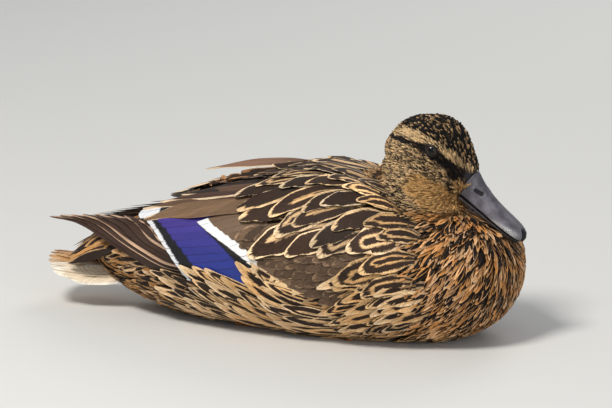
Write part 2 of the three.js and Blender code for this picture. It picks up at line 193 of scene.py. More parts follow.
def remeshed(name, verts, tris, voxel, rounds, grow=0.0):
    """One smooth closed surface over all the given solids, which it joins across their gaps.
    Its voxels and its growth are in mm."""
    obj = new_object(name, verts, tris)
    bm = bmesh.new()
    bm.from_mesh(obj.data)
    bmesh.ops.remove_doubles(bm, verts=bm.verts, dist=1e-6)
    bm.to_mesh(obj.data)
    bm.free()
    if grow:
        swell = obj.modifiers.new("swell", "DISPLACE")
        swell.strength = grow * MM
        swell.mid_level = 0
    remesh = obj.modifiers.new("remesh", "REMESH")
    remesh.mode = "VOXEL"
    remesh.voxel_size = voxel * MM
    remesh.use_smooth_shade = True
    smooth = obj.modifiers.new("smooth", "SMOOTH")
    smooth.factor = 0.5
    smooth.iterations = rounds
    apply_modifiers(obj)
    return obj


class Surface:
    """A closed mesh that feathers are laid on, asked for places and smooth outward normals."""

    def __init__(self, obj):
        self.verts, self.tris = mesh_arrays(obj)
        self.normals = vertex_normals(obj)
        self.tree = BVHTree.FromPolygons(self.verts.tolist(), self.tris.tolist())

    def smooth_normals(self, places, faces):
        """The corners' normals blended at each place in its triangle."""
        corners = self.tris[faces]
        a, b, c = (self.verts[corners[:, k]] for k in range(3))
        ab, ac, ap = b - a, c - a, places - a
        d00, d01, d11 = (ab * ab).sum(1), (ab * ac).sum(1), (ac * ac).sum(1)
        d20, d21 = (ap * ab).sum(1), (ap * ac).sum(1)
        area = np.maximum(d00 * d11 - d01 * d01, 1e-18)
        v = np.clip((d11 * d20 - d01 * d21) / area, 0, 1)[:, None]
        w = np.clip((d00 * d21 - d01 * d20) / area, 0, 1)[:, None]
        n = [self.normals[corners[:, k]] for k in range(3)]
        return unit(n[0] * (1 - v - w) + n[1] * v + n[2] * w)

    def answers(self, hits):
        places = np.array([hit[0] for hit in hits])
        return places, self.smooth_normals(places, np.array([hit[2] for hit in hits]))

    def nearest(self, points):
        return self.answers([self.tree.find_nearest(p) for p in points.tolist()])

    def cast(self, starts, headings):
        """The first hits of rays, or where they miss, the places nearest to points RAY_REACH along."""
        hits = []
        for start, heading in zip(starts.tolist(), headings.tolist()):
            hit = self.tree.ray_cast(start, heading)
            if hit[0] is None:
                hit = self.tree.find_nearest(Vector(start) + Vector(heading) * RAY_REACH)
            hits.append(hit)
        return self.answers(hits)

    def around(self, x, angle, side):
        """The places at x (mm) and at angles (degrees) up from the horizontal through the axis."""
        turn = np.radians(angle)
        out = np.stack([np.zeros_like(turn), side * np.cos(turn), np.sin(turn)], -1)
        centre = np.stack([x, np.zeros_like(x), np.full_like(x, AXIS_HEIGHT)], -1) * MM
        return self.cast(centre + out * RAY_START, -out)


def unit(vectors):
    return vectors / np.maximum(np.linalg.norm(vectors, axis=-1, keepdims=True), 1e-12)


def flat_to(vectors, normals):
    """The vectors' directions without their share along the normals."""
    return unit(vectors - normals * (vectors * normals).sum(-1, keepdims=True))


def smoothstep(low, high, value):
    t = np.clip((value - low) / (high - low), 0, 1)
    return t * t * (3 - 2 * t)


def window(value, rise_start, rise_end, fall_start, fall_end):
    """A smooth rise from 0 to 1 and a smooth fall back to 0."""
    return smoothstep(rise_start, rise_end, value) * (1 - smoothstep(fall_start, fall_end, value))


def bell(value, width):
    return np.exp(-(value / width) ** 2)


# ------------------------------------------------------------------ colours and node helpers
def linear(colour):
    """A colour, or rows of colours, given as 0 to 255, as linear light."""
    c = np.array(colour) / 255
    return np.where(c <= 0.04045, c / 12.92, ((c + 0.055) / 1.055) ** 2.4)


def blend(first, last, share):
    """The light of colours between two, given as 0 to 255."""
    return linear(first) * (1 - share) + linear(last) * share


class Value:
    """A shader's value: reckoning with it adds the math nodes."""

    def __init__(self, graph, socket):
        self.graph = graph
        self.socket = socket

    def __add__(self, other):
        return self.graph.math("ADD", self, other)

    def __sub__(self, other):
        return self.graph.math("SUBTRACT", self, other)

    def __rsub__(self, other):
        return self.graph.math("SUBTRACT", other, self)

    def __mul__(self, other):
        return self.graph.math("MULTIPLY", self, other)

    def __pow__(self, other):
        return self.graph.math("POWER", self, other)

    def __abs__(self):
        return self.graph.math("ABSOLUTE", self)


class Graph:
    """A material, with short names for the shader nodes that it is made of."""

    def __init__(self, name):
        self.material = bpy.data.materials.new(name)
        self.material.use_nodes = True
        self.tree = self.material.node_tree
        self.shader = self.tree.nodes["Principled BSDF"]

    def put(self, socket, value):
        if isinstance(value, Value):
            self.tree.links.new(value.socket, socket)
        elif isinstance(value, (tuple, list, np.ndarray)):
            wanted = len(socket.default_value)
            socket.default_value = (list(value) + [1.0])[:wanted]
        else:
            socket.default_value = value

    def node(self, kind, inputs=(), **settings):
        """A new node's outputs; its inputs are given as pairs of a name or number and a value."""
        node = self.tree.nodes.new("ShaderNode" + kind)
        for name, value in settings.items():
            setattr(node, name, value)
        for key, value in inputs:
            self.put(node.inputs[key], value)
        return [Value(self, socket) for socket in node.outputs]

    def math(self, operation, *values, clamp=False):
        return self.node("Math", enumerate(values), operation=operation, use_clamp=clamp)[0]

    def step(self, value, low, high):
        """0 below low and 1 above high."""
        inputs = (("Value", value), ("From Min", low), ("From Max", high))
        return self.node("MapRange", inputs, interpolation_type="SMOOTHSTEP")[0]

    def soft(self, value, middle, width):
        """A smooth rise from 0 to 1 about a middle that may itself be a value."""
        return self.step(value - middle, -width, width)

    def mix(self, share, first, second, blend="MIX"):
        inputs = ((0, share), (6, first), (7, second))
        return self.node("Mix", inputs, data_type="RGBA", blend_type=blend)[2]

    def shaded(self, colour, shade):
        """The colour made darker or lighter by a value."""
        return self.mix(1.0, colour, self.join(shade, shade, shade), "MULTIPLY")

    def attribute(self, name):
        """A mesh attribute as a colour, as three numbers, as one number and as its fourth."""
        return self.node("Attribute", attribute_name=name)

    def split(self, vector):
        return self.node("SeparateXYZ", [(0, vector)])

    def join(self, x, y, z):
        return self.node("CombineXYZ", enumerate((x, y, z)))[0]

    def place(self):
        return self.node("TexCoord")[3]

    def noise(self, vector, scale, detail=3.0, roughness=0.5):
        inputs = (("Vector", vector), ("Scale", scale), ("Detail", detail), ("Roughness", roughness))
        return self.node("TexNoise", inputs)[0]

    def bump(self, height, strength, distance):
        inputs = (("Height", height), ("Strength", strength), ("Distance", distance))
        self.put(self.shader.inputs["Normal"], self.node("Bump", inputs)[0])

    def finish(self, **sockets):
        for name, value in sockets.items():
            self.put(self.shader.inputs[name.replace("_", " ")], value)
        return self.material


def vane_values(g):
    """What both kinds of feather read: where on the vane, its colours and marks, and its chance."""
    across, along, _ = g.split(g.node("UVMap", uv_map="vane")[0])
    dark, _, _, chance = g.attribute("dark")
    light = g.attribute("light")[0]
    _, edges, _, start = g.attribute("marks")
    signed = across * 2.0 - 1.0
    return signed, along, dark, light, chance, g.split(edges), start


DEPTH_SHADE = (0.022, 0.016, 0.012)  # painted shade for the depth between the feathers, put over their roots
GLOSSY_SHAFT = (0.012, 0.01, 0.012)
MARK_EDGE = 0.07  # how soft a mark's edge is, in the outline's units
BAND_EDGE = 0.012


def vane_material(name, gloss=0.66, sheen=0.04, shaft_dark=0.35, barb_scale=34.0, ragged=1.0):
    """A feather: marks that follow its outline, barbs that slant off a shaft, and painted shade at its root.
    """
    g = Graph(name)
    signed, along, dark, light, chance, edges, start = vane_values(g)
    streak_edge, ring_edge, rim_edge = edges
    off_shaft = abs(signed)
    off_streak = abs(signed + chance * 0.44 - 0.22)
    to_tip = g.math("ADD", along * 2.6, -1.6, clamp=True)
    outline = (off_shaft ** 3.0 + to_tip ** 3.0) ** (1 / 3)
    barb = along - off_shaft * 0.22
    half = g.math("SIGN", signed)
    fine = g.noise(g.join(barb, chance * 37.0, half), barb_scale)
    broad = g.noise(g.join(barb, chance * 91.0, off_shaft), 5.0, 2.0)
    hatch = g.noise(g.join(barb, chance * 53.0, half), barb_scale * 2.7, 2.0)
    frayed = (fine - 0.5) * (0.2 * ragged) + outline + (broad - 0.5) * (0.34 * ragged)
    inner = frayed + (off_streak - off_shaft)
    streak = 1.0 - g.soft(inner, streak_edge, MARK_EDGE)
    ring = g.soft(inner, ring_edge, MARK_EDGE) * (1.0 - g.soft(frayed, rim_edge, MARK_EDGE))
    darkness = g.math("MAXIMUM", streak, ring) * g.soft(along, start, 0.12)
    warm = g.mix(1.0, light, (0.92, 0.82, 0.70), "MULTIPLY")
    colour = g.mix(darkness, g.mix(g.step(frayed, 0.55, 0.95), warm, light), dark)
    shaft = 1.0 - g.step(off_shaft, 0.03, 0.09)
    colour = g.mix(shaft * shaft_dark, colour, dark)
    shade = fine * 0.9 - 0.1 + hatch * 1.2 + (broad - 0.5) * 0.9
    colour = g.shaded(colour, shade)
    # painted shade over the root, where it lies under the overlapping feathers
    buried = 1.0 - g.step(along, 0.02, 0.5)
    colour = g.mix(buried * 0.55, colour, DEPTH_SHADE)
    g.bump(fine + hatch, 0.35, 0.0004)
    shader = {"Base_Color": colour, "Sheen_Weight": sheen, "Sheen_Roughness": 0.5}
    return g.finish(Roughness=broad * 0.2 + (gloss - 0.1), Specular_IOR_Level=0.22, **shader)


def banded_material(name, tip_colour, gloss, coat):
    """A wing feather whose marks cross it: its dark colour, then its light one, then the tip's."""
    g = Graph(name)
    signed, along, dark, light, chance, edges, _ = vane_values(g)
    off_shaft = abs(signed)
    barb = along - off_shaft * 0.16
    fine = g.noise(g.join(barb, chance * 37.0, g.math("SIGN", signed)), 46.0)
    frayed = (fine - 0.5) * 0.035 + along
    colour = g.mix(g.soft(frayed, edges[0], BAND_EDGE), dark, light)
    colour = g.mix(g.soft(frayed, edges[1], BAND_EDGE), colour, tip_colour)
    shaft = 1.0 - g.step(off_shaft, 0.02, 0.07)
    colour = g.shaded(g.mix(shaft * 0.45, colour, GLOSSY_SHAFT), fine * 0.7 + 0.65)
    g.bump(fine, 0.3, 0.0003)
    shader = {"Base_Color": colour, "Coat_Weight": coat, "Coat_Roughness": 0.35}
    return g.finish(Roughness=fine * 0.2 + gloss, Specular_IOR_Level=0.4, **shader)


# ------------------------------------------------------------------ places on the bird, in millimetres
BILL_BASE = np.array([103.5, 0.0, 97.5])
HEAD_PITCH = math.radians(38.0)
FORWARD = np.array([math.cos(HEAD_PITCH), 0, -math.sin(HEAD_PITCH)])
UPWARD = np.array([math.sin(HEAD_PITCH), 0, math.cos(HEAD_PITCH)])
HEAD_CENTRE = np.array([72.0, 0.0, 117.0])
EYE = (-31.0, 15.3, 10.6)  # forward, out and up from the bill's base
EYE_RADIUS = 5.1
GAZE = (0.16, 1.0, 0.10)


def off_head_centre(points):
    return np.linalg.norm(points / MM - HEAD_CENTRE, axis=1)


def head_frame(points):
    """How far forward, out and up from the bill's base places lie, in mm."""
    rel = points / MM - BILL_BASE
    return rel @ FORWARD, np.abs(rel[:, 1]), rel @ UPWARD


def from_head_frame(forward, out, up, side):
    place = BILL_BASE + forward * FORWARD + up * UPWARD
    return (place + np.array([0, side * out, 0])) * MM


def turn_about(points):
    """The angle of places up from the horizontal through the body's axis, in degrees."""
    return np.degrees(np.arctan2(points[:, 2] / MM - AXIS_HEIGHT, np.abs(points[:, 1]) / MM))


def along_line(values, line):
    """A polyline's height at the given places, from its (place, height) points."""
    places, heights = np.array(line).T
    return np.interp(values, places, heights)


# ------------------------------------------------------------------ plumage colours by region
# lines on the side of the head, as (forward, up) from the bill's base, and half the stripe's width
CROWN_EDGE = [(-62, 4.0), (-56.9, 7.5), (-44.5, 14.7), (-33.7, 17.1), (-18.1, 17.8), (-1.8, 15.2)]
EYE_STRIPE = [(-58, -2.0), (-52.8, 1.4), (-39.3, 8.1), (-31, 10.4), (-16.8, 10.0), (-5.7, 6.8), (0, 6.2)]
STRIPE_HALF = [(-58, 1.2), (-45, 2.0), (-31, 3.2), (-16.8, 2.6), (-5.7, 5.2), (0, 6.5)]
THROAT_TOP = [(-30, -9.0), (-26, -5.0), (-20, -3.4), (-10, -2.6), (0, -1.6)]
# where the feathers end on the bill's side, as (up, forward)
FEATHER_FRONT = [(-16, 3.5), (-9, 2.0), (-4, -1.0), (-0.2, -0.8), (2.6, 0.0), (6, -1.9), (9.3, -4.1),
                 (12.7, -4.6), (14.5, -1.4), (16.1, -0.4), (22, -0.4)]


def paint(dark, light, marks):
    """Two colours and the marks: the streak's edge, the ring's two edges and where the marks start."""
    return {"dark": linear(dark), "light": linear(light), "marks": np.array(marks, dtype=float)}


def streaked(edge, start=0.0):
    """Marks of a dark streak alone, from the shaft (0) towards the outline (1)."""
    return (edge, 2.0, 2.2, start)


PAINTS = {
    "belly": paint((52, 35, 22), (196, 152, 98), streaked(0.46, 0.1)),
    "breast": paint((28, 18, 11), (212, 150, 84), streaked(0.62)),
    "flank": paint((38, 25, 16), (206, 162, 108), streaked(0.42)),
    "mantle": paint((42, 29, 20), (206, 164, 114), (0.3, 0.46, 0.88, 0.0)),
    "wing": paint((76, 58, 44), (130, 104, 80), streaked(0.9)),
    "rump": paint((36, 24, 15), (180, 130, 72), streaked(0.58)),
    "collar": paint((38, 25, 17), (196, 148, 92), streaked(0.5)),
    # painted shadow: both colours dark, for the band along the crease below the head
    "crease": paint((22, 15, 10), (96, 66, 40), streaked(0.8)),
    "cheek": paint((36, 25, 18), (220, 188, 142), streaked(0.55, 0.05)),
    "crown": paint((15, 11, 9), (190, 156, 114), streaked(0.76)),
    "brow": paint((84, 60, 38), (234, 204, 156), streaked(0.22, 0.1)),
    "stripe": paint((20, 14, 11), (76, 54, 36), streaked(0.95)),
    "throat": paint((140, 100, 55), (206, 164, 106), streaked(0.1, 0.1)),
}
SPOT = {"dark": linear((184, 142, 90)), "light": linear((228, 190, 134))}  # the pale patch at the bill's side
GAPE = linear((20, 15, 12))
CREAM = linear((246, 226, 196))


def region_shares(points):
    """How much of each place belongs to each region, in the order in which they are painted over.
    Every border is a smooth step between two places, in mm, or in degrees where it is a turn."""
    x, _, z = (points / MM).T
    forward, _, up = head_frame(points)
    off_head = np.linalg.norm((points / MM - HEAD_CENTRE) * (1, 1.1, 1), axis=1)
    turn = turn_about(points)
    off_crease = crease_distance(points)
    head = (1 - smoothstep(-4, -1, off_crease)) * smoothstep(78, 84, z) * (1 - smoothstep(40, 46, off_head))
    head = np.maximum(head, smoothstep(104, 108, z) * smoothstep(52, 58, x))
    collar = (1 - smoothstep(36, 46, off_head)) * smoothstep(84, 92, z)
    crown = smoothstep(-1.2, 1.2, up - along_line(forward, CROWN_EDGE))
    above_stripe = up - along_line(forward, EYE_STRIPE)
    stripe = 1 - smoothstep(-0.8, 0.8, np.abs(above_stripe) - along_line(forward, STRIPE_HALF))
    brow = smoothstep(0.5, 2.0, above_stripe) * window(forward, -60, -54, -14, -6)
    throat = smoothstep(-0.8, 0.8, along_line(forward, THROAT_TOP) - up) * smoothstep(-31, -26, forward)
    spot = np.hypot(forward + 1.8, up - 2.6)
    gape = np.hypot((forward + 5.2) / 2.2, up + 2.2 + 0.5 * (forward + 5))
    return {
        "belly": np.ones(len(points)),
        "flank": smoothstep(-50, -38, turn) * smoothstep(-62, -40, x),
        "rump": 1 - smoothstep(-72, -52, x),
        "wing": smoothstep(-4, 4, turn) * (1 - smoothstep(40, 60, x)) * smoothstep(-130, -110, x),
        "mantle": smoothstep(24, 36, turn) * smoothstep(-60, -40, x),
        "breast": smoothstep(58, 92, x - 0.25 * (z - 60)) * smoothstep(8, 16, z),
        "collar": collar * smoothstep(52, 66, x),
        "cheek": head,
        # painted shadow along the crease between the head and the shoulders
        "crease": bell(off_crease, 2.4) * smoothstep(76, 82, z) * (1 - smoothstep(88, 104, x)),
        "brow": head * brow * (1 - crown),
        "crown": head * crown,
        "stripe": head * stripe * (1 - crown * 0.5),
        "throat": head * throat * (1 - smoothstep(-16, -20, up)),
        "spot": head * (1 - smoothstep(2.4, 4.4, spot)),
        "gape": head * (1 - smoothstep(0.8, 2.0, gape)),
    }


def crease_distance(points):
    """How far outside the crease between the head and the shoulders places lie, seen from above."""
    x, y, _ = (points / MM).T
    return np.hypot(x - 78, y) - 32 - 5 * smoothstep(55, 80, x)


def plumage(points):
    """The dark and light colours and the marks of feathers rooted at the given places."""
    shares = region_shares(points)
    spot, gape = shares.pop("spot")[:, None], shares.pop("gape")[:, None]
    chosen = {key: np.zeros((len(points), len(values))) for key, values in PAINTS["belly"].items()}
    for name, share in shares.items():
        for key, values in chosen.items():
            values += share[:, None] * (PAINTS[name][key] - values)
    for key, colour in SPOT.items():
        chosen[key] += spot * (colour - chosen[key])
        chosen[key] += gape * (GAPE - chosen[key])
    return chosen


def lie(points):
    """The way feathers point: away from the bill on the head and neck, then towards the tail."""
    away = points / MM - BILL_BASE
    distance = np.linalg.norm(away, axis=1, keepdims=True)
    near = 2.6 * np.exp(-(distance / 62) ** 2)
    x, turn = points[:, :1] / MM, turn_about(points)[:, None]
    down = smoothstep(28, 70, x) * (1 - smoothstep(10, 40, turn))
    up = smoothstep(-70, -45, x) * (1 - smoothstep(-5, 30, x)) * (1 - smoothstep(-5, 15, turn))
    back = np.array([-1.0, 0, -0.05]) + np.array([0, 0, 1.0]) * (0.5 * up - 0.45 * down)
    return away / np.maximum(distance, 1) * near + back * (1 - 0.9 * np.exp(-(distance / 48) ** 2))


# ------------------------------------------------------------------ vanes
# share of the full width at the root, where it is full, how much the tip narrows, from where, and how fast
OUTLINES = {
    "body": (0.30, 0.60, 0.10, 0.75, 1.0),
    "lance": (0.45, 0.45, 0.42, 0.55, 1.3),
    "oval": (0.50, 0.40, 0.30, 0.70, 1.4),
    "flight": (0.55, 0.35, 0.12, 0.60, 1.0),
    "pointed": (0.60, 0.30, 0.72, 0.50, 1.3),
}


def width_along(v, outline):
    root, full, narrowing, shoulder, power = OUTLINES[outline]
    return root + (1 - root) * smoothstep(0, full, v) - narrowing * smoothstep(shoulder, 1.0, v) ** power


def marched(surface, roots, headings, lengths, rows, drift=0.35):
    """Midlines over the surface from the roots, turning towards the lie of the plumage as they go."""
    places, normals = surface.nearest(roots)
    ways = flat_to(headings, normals)
    steps = (lengths * MM / (rows - 1))[:, None]
    line, out = [places], [normals]
    for _ in range(rows - 1):
        places, normals = surface.nearest(places + ways * steps)
        wanted = flat_to(lie(places), normals)
        ways = flat_to(ways * (1 - drift / rows) + wanted * (drift / rows), normals)
        line.append(places)
        out.append(normals)
    return np.stack(line, 1), np.stack(out, 1)


def routed(surface, routes, side, rows):
    """Midlines over the surface, each along a route of three (x, turn) points."""
    share = np.linspace(0, 1, rows)
    xs, turns = (np.array([bent(share, [point[k] for point in route]) for route in routes]) for k in (0, 1))
    places, normals = surface.around(xs.ravel(), turns.ravel(), side)
    return places.reshape(*xs.shape, 3), normals.reshape(*xs.shape, 3)


def arched(root, tip, rise, onward=0.0):
    """A route from root to tip whose middle is moved up and onward from the straight line's."""
    return [root, ((root[0] + tip[0]) / 2 + onward, (root[1] + tip[1]) / 2 + rise), tip]


def eased(line, rounds=12):
    """Midlines and their normals with the unevenness of the guide's thin edges smoothed out."""
    places, normals = (values.copy() for values in line)
    for _ in range(rounds):
        places[:, 1:-1] = (places[:, :-2] + 2 * places[:, 1:-1] + places[:, 2:]) / 4
        normals[:, 1:-1] = normals[:, :-2] + 2 * normals[:, 1:-1] + normals[:, 2:]
        normals[:, 0], normals[:, -1] = normals[:, 1], normals[:, -2]
        normals = unit(normals)
    return places, normals


def bezier(first, control, last, t):
    return (1 - t) ** 2 * first + 2 * t * (1 - t) * control + t ** 2 * last


def bent(share, three):
    """A parabola from the first value to the last by way of the middle one."""
    first, middle, last = three
    return bezier(first, 2 * middle - (first + last) / 2, last, share)


def lerp(first, last, share):
    return [a + (b - a) * share for a, b in zip(first, last)]


def vanes(surface, midline, half, columns, lift, outline="body", tip=1.0, droop=0.3,
          thick=0.12, fray=0.15, roll=0.3, skew=0.0, tilt=0.0):
    """Closed thin vanes over the surface, or flat across where there's none: a top and an
    underside that meet at the outline. In mm: half the width, the lift of root and tip off the
    surface, the rims' droop, the thickness, the ragged rim, and by how much the one rim is
    higher than the other (tilt, and roll by chance). In half-widths: how far the tip's
    corners are drawn back, and how far its one side lies behind the other (skew)."""
    middle, out = midline
    count, rows = middle.shape[:2]
    half = np.broadcast_to(half, (count,)).astype(float)
    a = np.linspace(-1, 1, columns)
    v = np.linspace(0, 1, rows)
    way = unit(np.gradient(middle, axis=1))
    across = unit(np.cross(out, way))
    offset = half[:, None, None] * width_along(v, outline)[None, :, None] * a
    ragged = rng.normal(0, fray, (count, 1, columns)) * (v ** 2)[None, :, None]
    ragged = ragged + rng.normal(0, fray * 0.5, (count, rows, columns)) * np.abs(a) ** 4
    back = tip * half[:, None, None] * np.abs(a) ** 2.4 * (v ** 3)[None, :, None] + ragged
    slant = np.broadcast_to(skew, (count,))[:, None, None]
    back = back + slant * half[:, None, None] * a * v[None, :, None]
    shift = across[:, :, None] * offset[..., None] - way[:, :, None] * back[..., None]
    on = middle[:, :, None] + shift * MM
    normal = np.broadcast_to(out[:, :, None], on.shape)
    if surface:
        on, normal = (values.reshape(on.shape) for values in surface.nearest(on.reshape(-1, 3)))
    low, high = (np.asarray(lift[k], dtype=float) + rng.normal(0, 0.08, count) for k in (0, 1))
    height = low[:, None] + (high - low)[:, None] * v
    height = height[..., None] - droop * a ** 2 * (0.3 + 0.7 * v)[:, None]
    turned = rng.normal(0, roll, (count, 1, 1)) + np.broadcast_to(tilt, (count,))[:, None, None]
    height = height + turned * a * (0.4 + 0.6 * v[:, None])
    top = on + normal * height[..., None] * MM
    hollow = thick * np.outer(np.sin(np.pi * v) ** 0.4, 1 - a ** 2)
    under = top - normal * hollow[..., None] * MM
    return {"top": top, "under": under, "rows": rows, "columns": columns, "roots": middle[:, 0]}


def coloured(lay, paints, jitter=0.1, mark_jitter=0.06, pale=0.0):
    """Gives each vane its colours and marks, a little different from its neighbours'."""
    count = len(lay["roots"])
    shade = np.exp(rng.normal(0, jitter, (count, 1)))
    chance = rng.random((count, 1))
    paler = pale * rng.random((count, 1)) ** 1.5
    paints = dict(paints, light=paints["light"] + paler * (CREAM - paints["light"]))
    for key in ("dark", "light"):
        lay[key] = np.hstack([np.broadcast_to(paints[key], (count, 3)) * shade, chance])
    lay["marks"] = np.broadcast_to(paints["marks"], (count, 4)) + rng.normal(0, mark_jitter, (count, 4))
    return lay


PATCH = 0.003  # how wide a feather's patch is on the unwrap of the body or the head
# centre, radii and axis of the eggs about which the roots are unwrapped
HEAD_EGG = ((72, 0, 117), (34, 22, 26), (1, 0, -0.8))
BODY_EGG = ((-20, 0, 50), (165, 66, 55), (1, 0, 0))


def grid_faces(rows, columns, flip):
    i, j = np.meshgrid(np.arange(rows - 1), np.arange(columns - 1), indexing="ij")
    at = (i * columns + j).ravel()
    quads = np.stack([at, at + columns, at + columns + 1, at + 1], 1)
    return quads[:, ::-1] if flip else quads


def unwrapped(points, centre, radii, axis):
    """Longitude and latitude about an axis, on an egg fitted to the skin, from 0 to 1."""
    pole = unit(np.array(axis, dtype=float))
    side = np.array([0.0, 1.0, 0.0])
    rel = points / MM - np.array(centre)
    rel = unit(np.stack([rel @ pole, rel @ side, rel @ np.cross(pole, side)], 1) / np.array(radii))
    longitude = np.arctan2(rel[:, 1], -rel[:, 2]) / (2 * np.pi) + 0.5
    return np.stack([longitude, np.arccos(np.clip(rel[:, 0], -1, 1)) / np.pi], 1)


def bake_patches(lay, flat, egg, patches, placed, total):
    """Each vane's own patch of the baked map: at its root's place on the egg, or in a grid."""
    if egg:
        corner = 0.004 + unwrapped(lay["roots"], *egg) * 0.99
        return corner[:, None] + (flat * PATCH)[None]
    order = placed + np.arange(len(lay["roots"]))
    down = math.ceil(total / patches)
    corner = np.stack([order % patches / patches, order // patches / down], 1)
    return corner[:, None] + (flat * 0.9 + 0.05)[None] / np.array([patches, down])


def coat_piece(name, lays, material, slot, egg=None, patches=None):
    """One mesh of all the given vanes, with the maps and attributes that its material reads.
    Either egg says how the roots unwrap, or patches how many vanes go across the map."""
    verts, faces = [], []
    maps, held = {"vane": [], "OFBake": []}, {"dark": [], "light": [], "marks": []}
    start, placed = 0, 0
    total = sum(len(lay["roots"]) for lay in lays)
    for lay in lays:
        count, rows, columns = len(lay["roots"]), lay["rows"], lay["columns"]
        cells = rows * columns
        u, v = np.meshgrid(np.linspace(0, 1, columns), np.linspace(0, 1, rows))
        flat = np.stack([u.ravel(), v.ravel()], 1)
        patch = bake_patches(lay, flat, egg, patches, placed, total)
        for sheet, flip in ((lay["top"], False), (lay["under"], True)):
            verts.append(sheet.reshape(-1, 3))
            firsts = start + np.arange(count) * cells
            faces.append((grid_faces(rows, columns, flip)[None] + firsts[:, None, None]).reshape(-1, 4))
            start += count * cells
            maps["vane"].append(np.tile(flat, (count, 1)))
            maps["OFBake"].append(patch.reshape(-1, 2))
            for key, values in held.items():
                values.append(np.repeat(lay[key], cells, axis=0))
        placed += count
    verts, faces = np.concatenate(verts), np.concatenate(faces)
    verts[:, 2] = np.maximum(verts[:, 2], LOWEST)
    obj = new_object(name, verts, faces)
    for label, uv in maps.items():
        layer = obj.data.uv_layers.new(name=label)
        layer.data.foreach_set("uv", np.concatenate(uv)[faces.ravel()].astype(np.float32).ravel())
    for key, values in held.items():
        hold_colours(obj, key, np.concatenate(values))
    obj.data.materials.append(material)
    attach(obj, "root")
    return obj


def scattered(surface, keep, spacing, seed_count):
    """Places spread over the surface, no two nearer than the spacing at either of them."""
    a, b, c = (surface.verts[surface.tris[:, k]] for k in range(3))
    area = np.linalg.norm(np.cross(b - a, c - a), axis=1) / 2
    middle = (a + b + c) / 3
    weight = area * keep(middle) * (1 / spacing(middle) ** 2)
    chosen = rng.choice(len(area), seed_count, p=weight / weight.sum())
    r1, r2 = rng.random(seed_count), rng.random(seed_count)
    r1, r2 = np.sqrt(r1)[:, None], r2[:, None]
    points = a[chosen] * (1 - r1) + b[chosen] * (r1 * (1 - r2)) + c[chosen] * (r1 * r2)
    gaps = spacing(points) * MM
    tree = KDTree(seed_count)
    for number, point in enumerate(points.tolist()):
        tree.insert(point, number)
    tree.balance()
    free = np.ones(seed_count, dtype=bool)
    kept = []
    for number, (point, gap) in enumerate(zip(points.tolist(), gaps.tolist())):
        if not free[number]:
            continue
        kept.append(number)
        for _, other, _ in tree.find_range(point, gap):
            free[other] = False
    return points[kept]


# ------------------------------------------------------------------ the skin with its lids
def coat_depth(points):
    """How far the skin lies under the outline, in mm: less on the head than on the body."""
    return 1.7 + 2.3 * smoothstep(32, 60, off_head_centre(points))


def grid_object(name, rings):
    """A smooth mesh through closed rings of points, an array of shape (rings, points, 3)."""
    count, around = rings.shape[:2]
    i, j = np.meshgrid(np.arange(count - 1), np.arange(around), indexing="ij")
    a = (i * around + j).ravel()
    b = (i * around + (j + 1) % around).ravel()
    return new_object(name, rings.reshape(-1, 3), np.stack([a, b, b + around, a + around], 1))


def eye_axes(side):
    """The eye's centre and its frame: outwards (the gaze), back along the lids, and up."""
    gaze = unit(np.array(GAZE) * (1, side, 1))
    back = -flat_to(FORWARD, gaze)
    return from_head_frame(*EYE, side), gaze, back, unit(np.cross(gaze, back)) * side


LID_HALF_LENGTH = 4.35
LID_HEIGHTS = (2.35, 2.5)  # of the opening above and below the eye's centre
LID_REACH = 6.6
# share of the way from the opening to the lid's outer edge, and distance from the eye's centre
LID_SECTION = [(-0.06, 4.75), (-0.02, 5.15), (0.03, 5.45), (0.10, 5.62), (0.18, 5.58),
               (0.26, 5.42), (0.36, 5.45), (0.55, 5.35), (0.8, 4.9), (1.0, 4.2)]


def lids(side):
    """Upper and lower lid: rolled rims round an almond opening, blending out over the eye."""
    centre, gaze, back, up = eye_axes(side)
    turn = np.linspace(0, 2 * np.pi, 73)[:-1]
    opening = LID_HALF_LENGTH * np.abs(np.cos(turn)) ** 1.15 * np.sign(np.cos(turn))
    height = np.where(np.sin(turn) > 0, *LID_HEIGHTS) * np.sin(turn)
    inner = np.hypot(opening, height)
    spoke = (opening / inner)[:, None] * back + (height / inner)[:, None] * up
    rings = []
    for share, radius in LID_SECTION:
        reach = inner + (LID_REACH - inner) * max(share, 0) + min(share, 0) * 6
        angle = np.arcsin(np.minimum(reach, 5.0) / 5.3) + np.maximum(reach - 5.0, 0) * 0.22
        rings.append(centre + (gaze * np.cos(angle)[:, None] + spoke * np.sin(angle)[:, None]) * radius * MM)
    return grid_object("lids", np.array(rings) if side < 0 else np.array(rings)[:, ::-1])


PLATES_END = -84.0  # the skin ends there, well under the tips of the wing feathers
SWELL = 0.8  # joins the solids across their gaps before the skin is drawn in


def make_skin():
    """One skin over the flesh, as deep under the outline as the coat is, with the lids joined on."""
    flesh = ["head", "neck", "trunk", "wing_right", "wing_left",
             "foot_right", "foot_left", "leg_right", "leg_left"]
    verts, tris = joined(flesh)
    plate, plate_tris = joined(["tertials_right", "tertials_left", "secondaries_right", "secondaries_left"])
    plate[:, 0] = np.maximum(plate[:, 0], PLATES_END * MM)
    verts, tris = np.vstack([verts, plate]), np.vstack([tris, plate_tris + len(verts)])
    first = remeshed("first", verts, tris, voxel=2.0, rounds=8, grow=SWELL)
    verts, tris = mesh_arrays(first)
    verts = verts - vertex_normals(first) * (SWELL + coat_depth(verts))[:, None] * MM
    bpy.data.objects.remove(first)
    skin = remeshed("skin", verts, tris, voxel=1.5, rounds=5)
    verts, _ = mesh_arrays(skin)
    verts[:, 2] = np.maximum(verts[:, 2], 3 * LOWEST)
    set_verts(skin, verts)
    pieces = [skin] + [lids(side) for side in SIDES.values()]
    bpy.ops.object.select_all(action="DESELECT")
    for piece in pieces:
        piece.select_set(True)
    bpy.context.view_layer.objects.active = skin
    bpy.ops.object.join()
    hold_colours(skin, "tint", skin_tint(mesh_arrays(skin)[0]))
    skin.data.materials.append(skin_material())
    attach(skin, "root")
    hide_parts("head", "neck", "trunk", "wing_right", "wing_left")


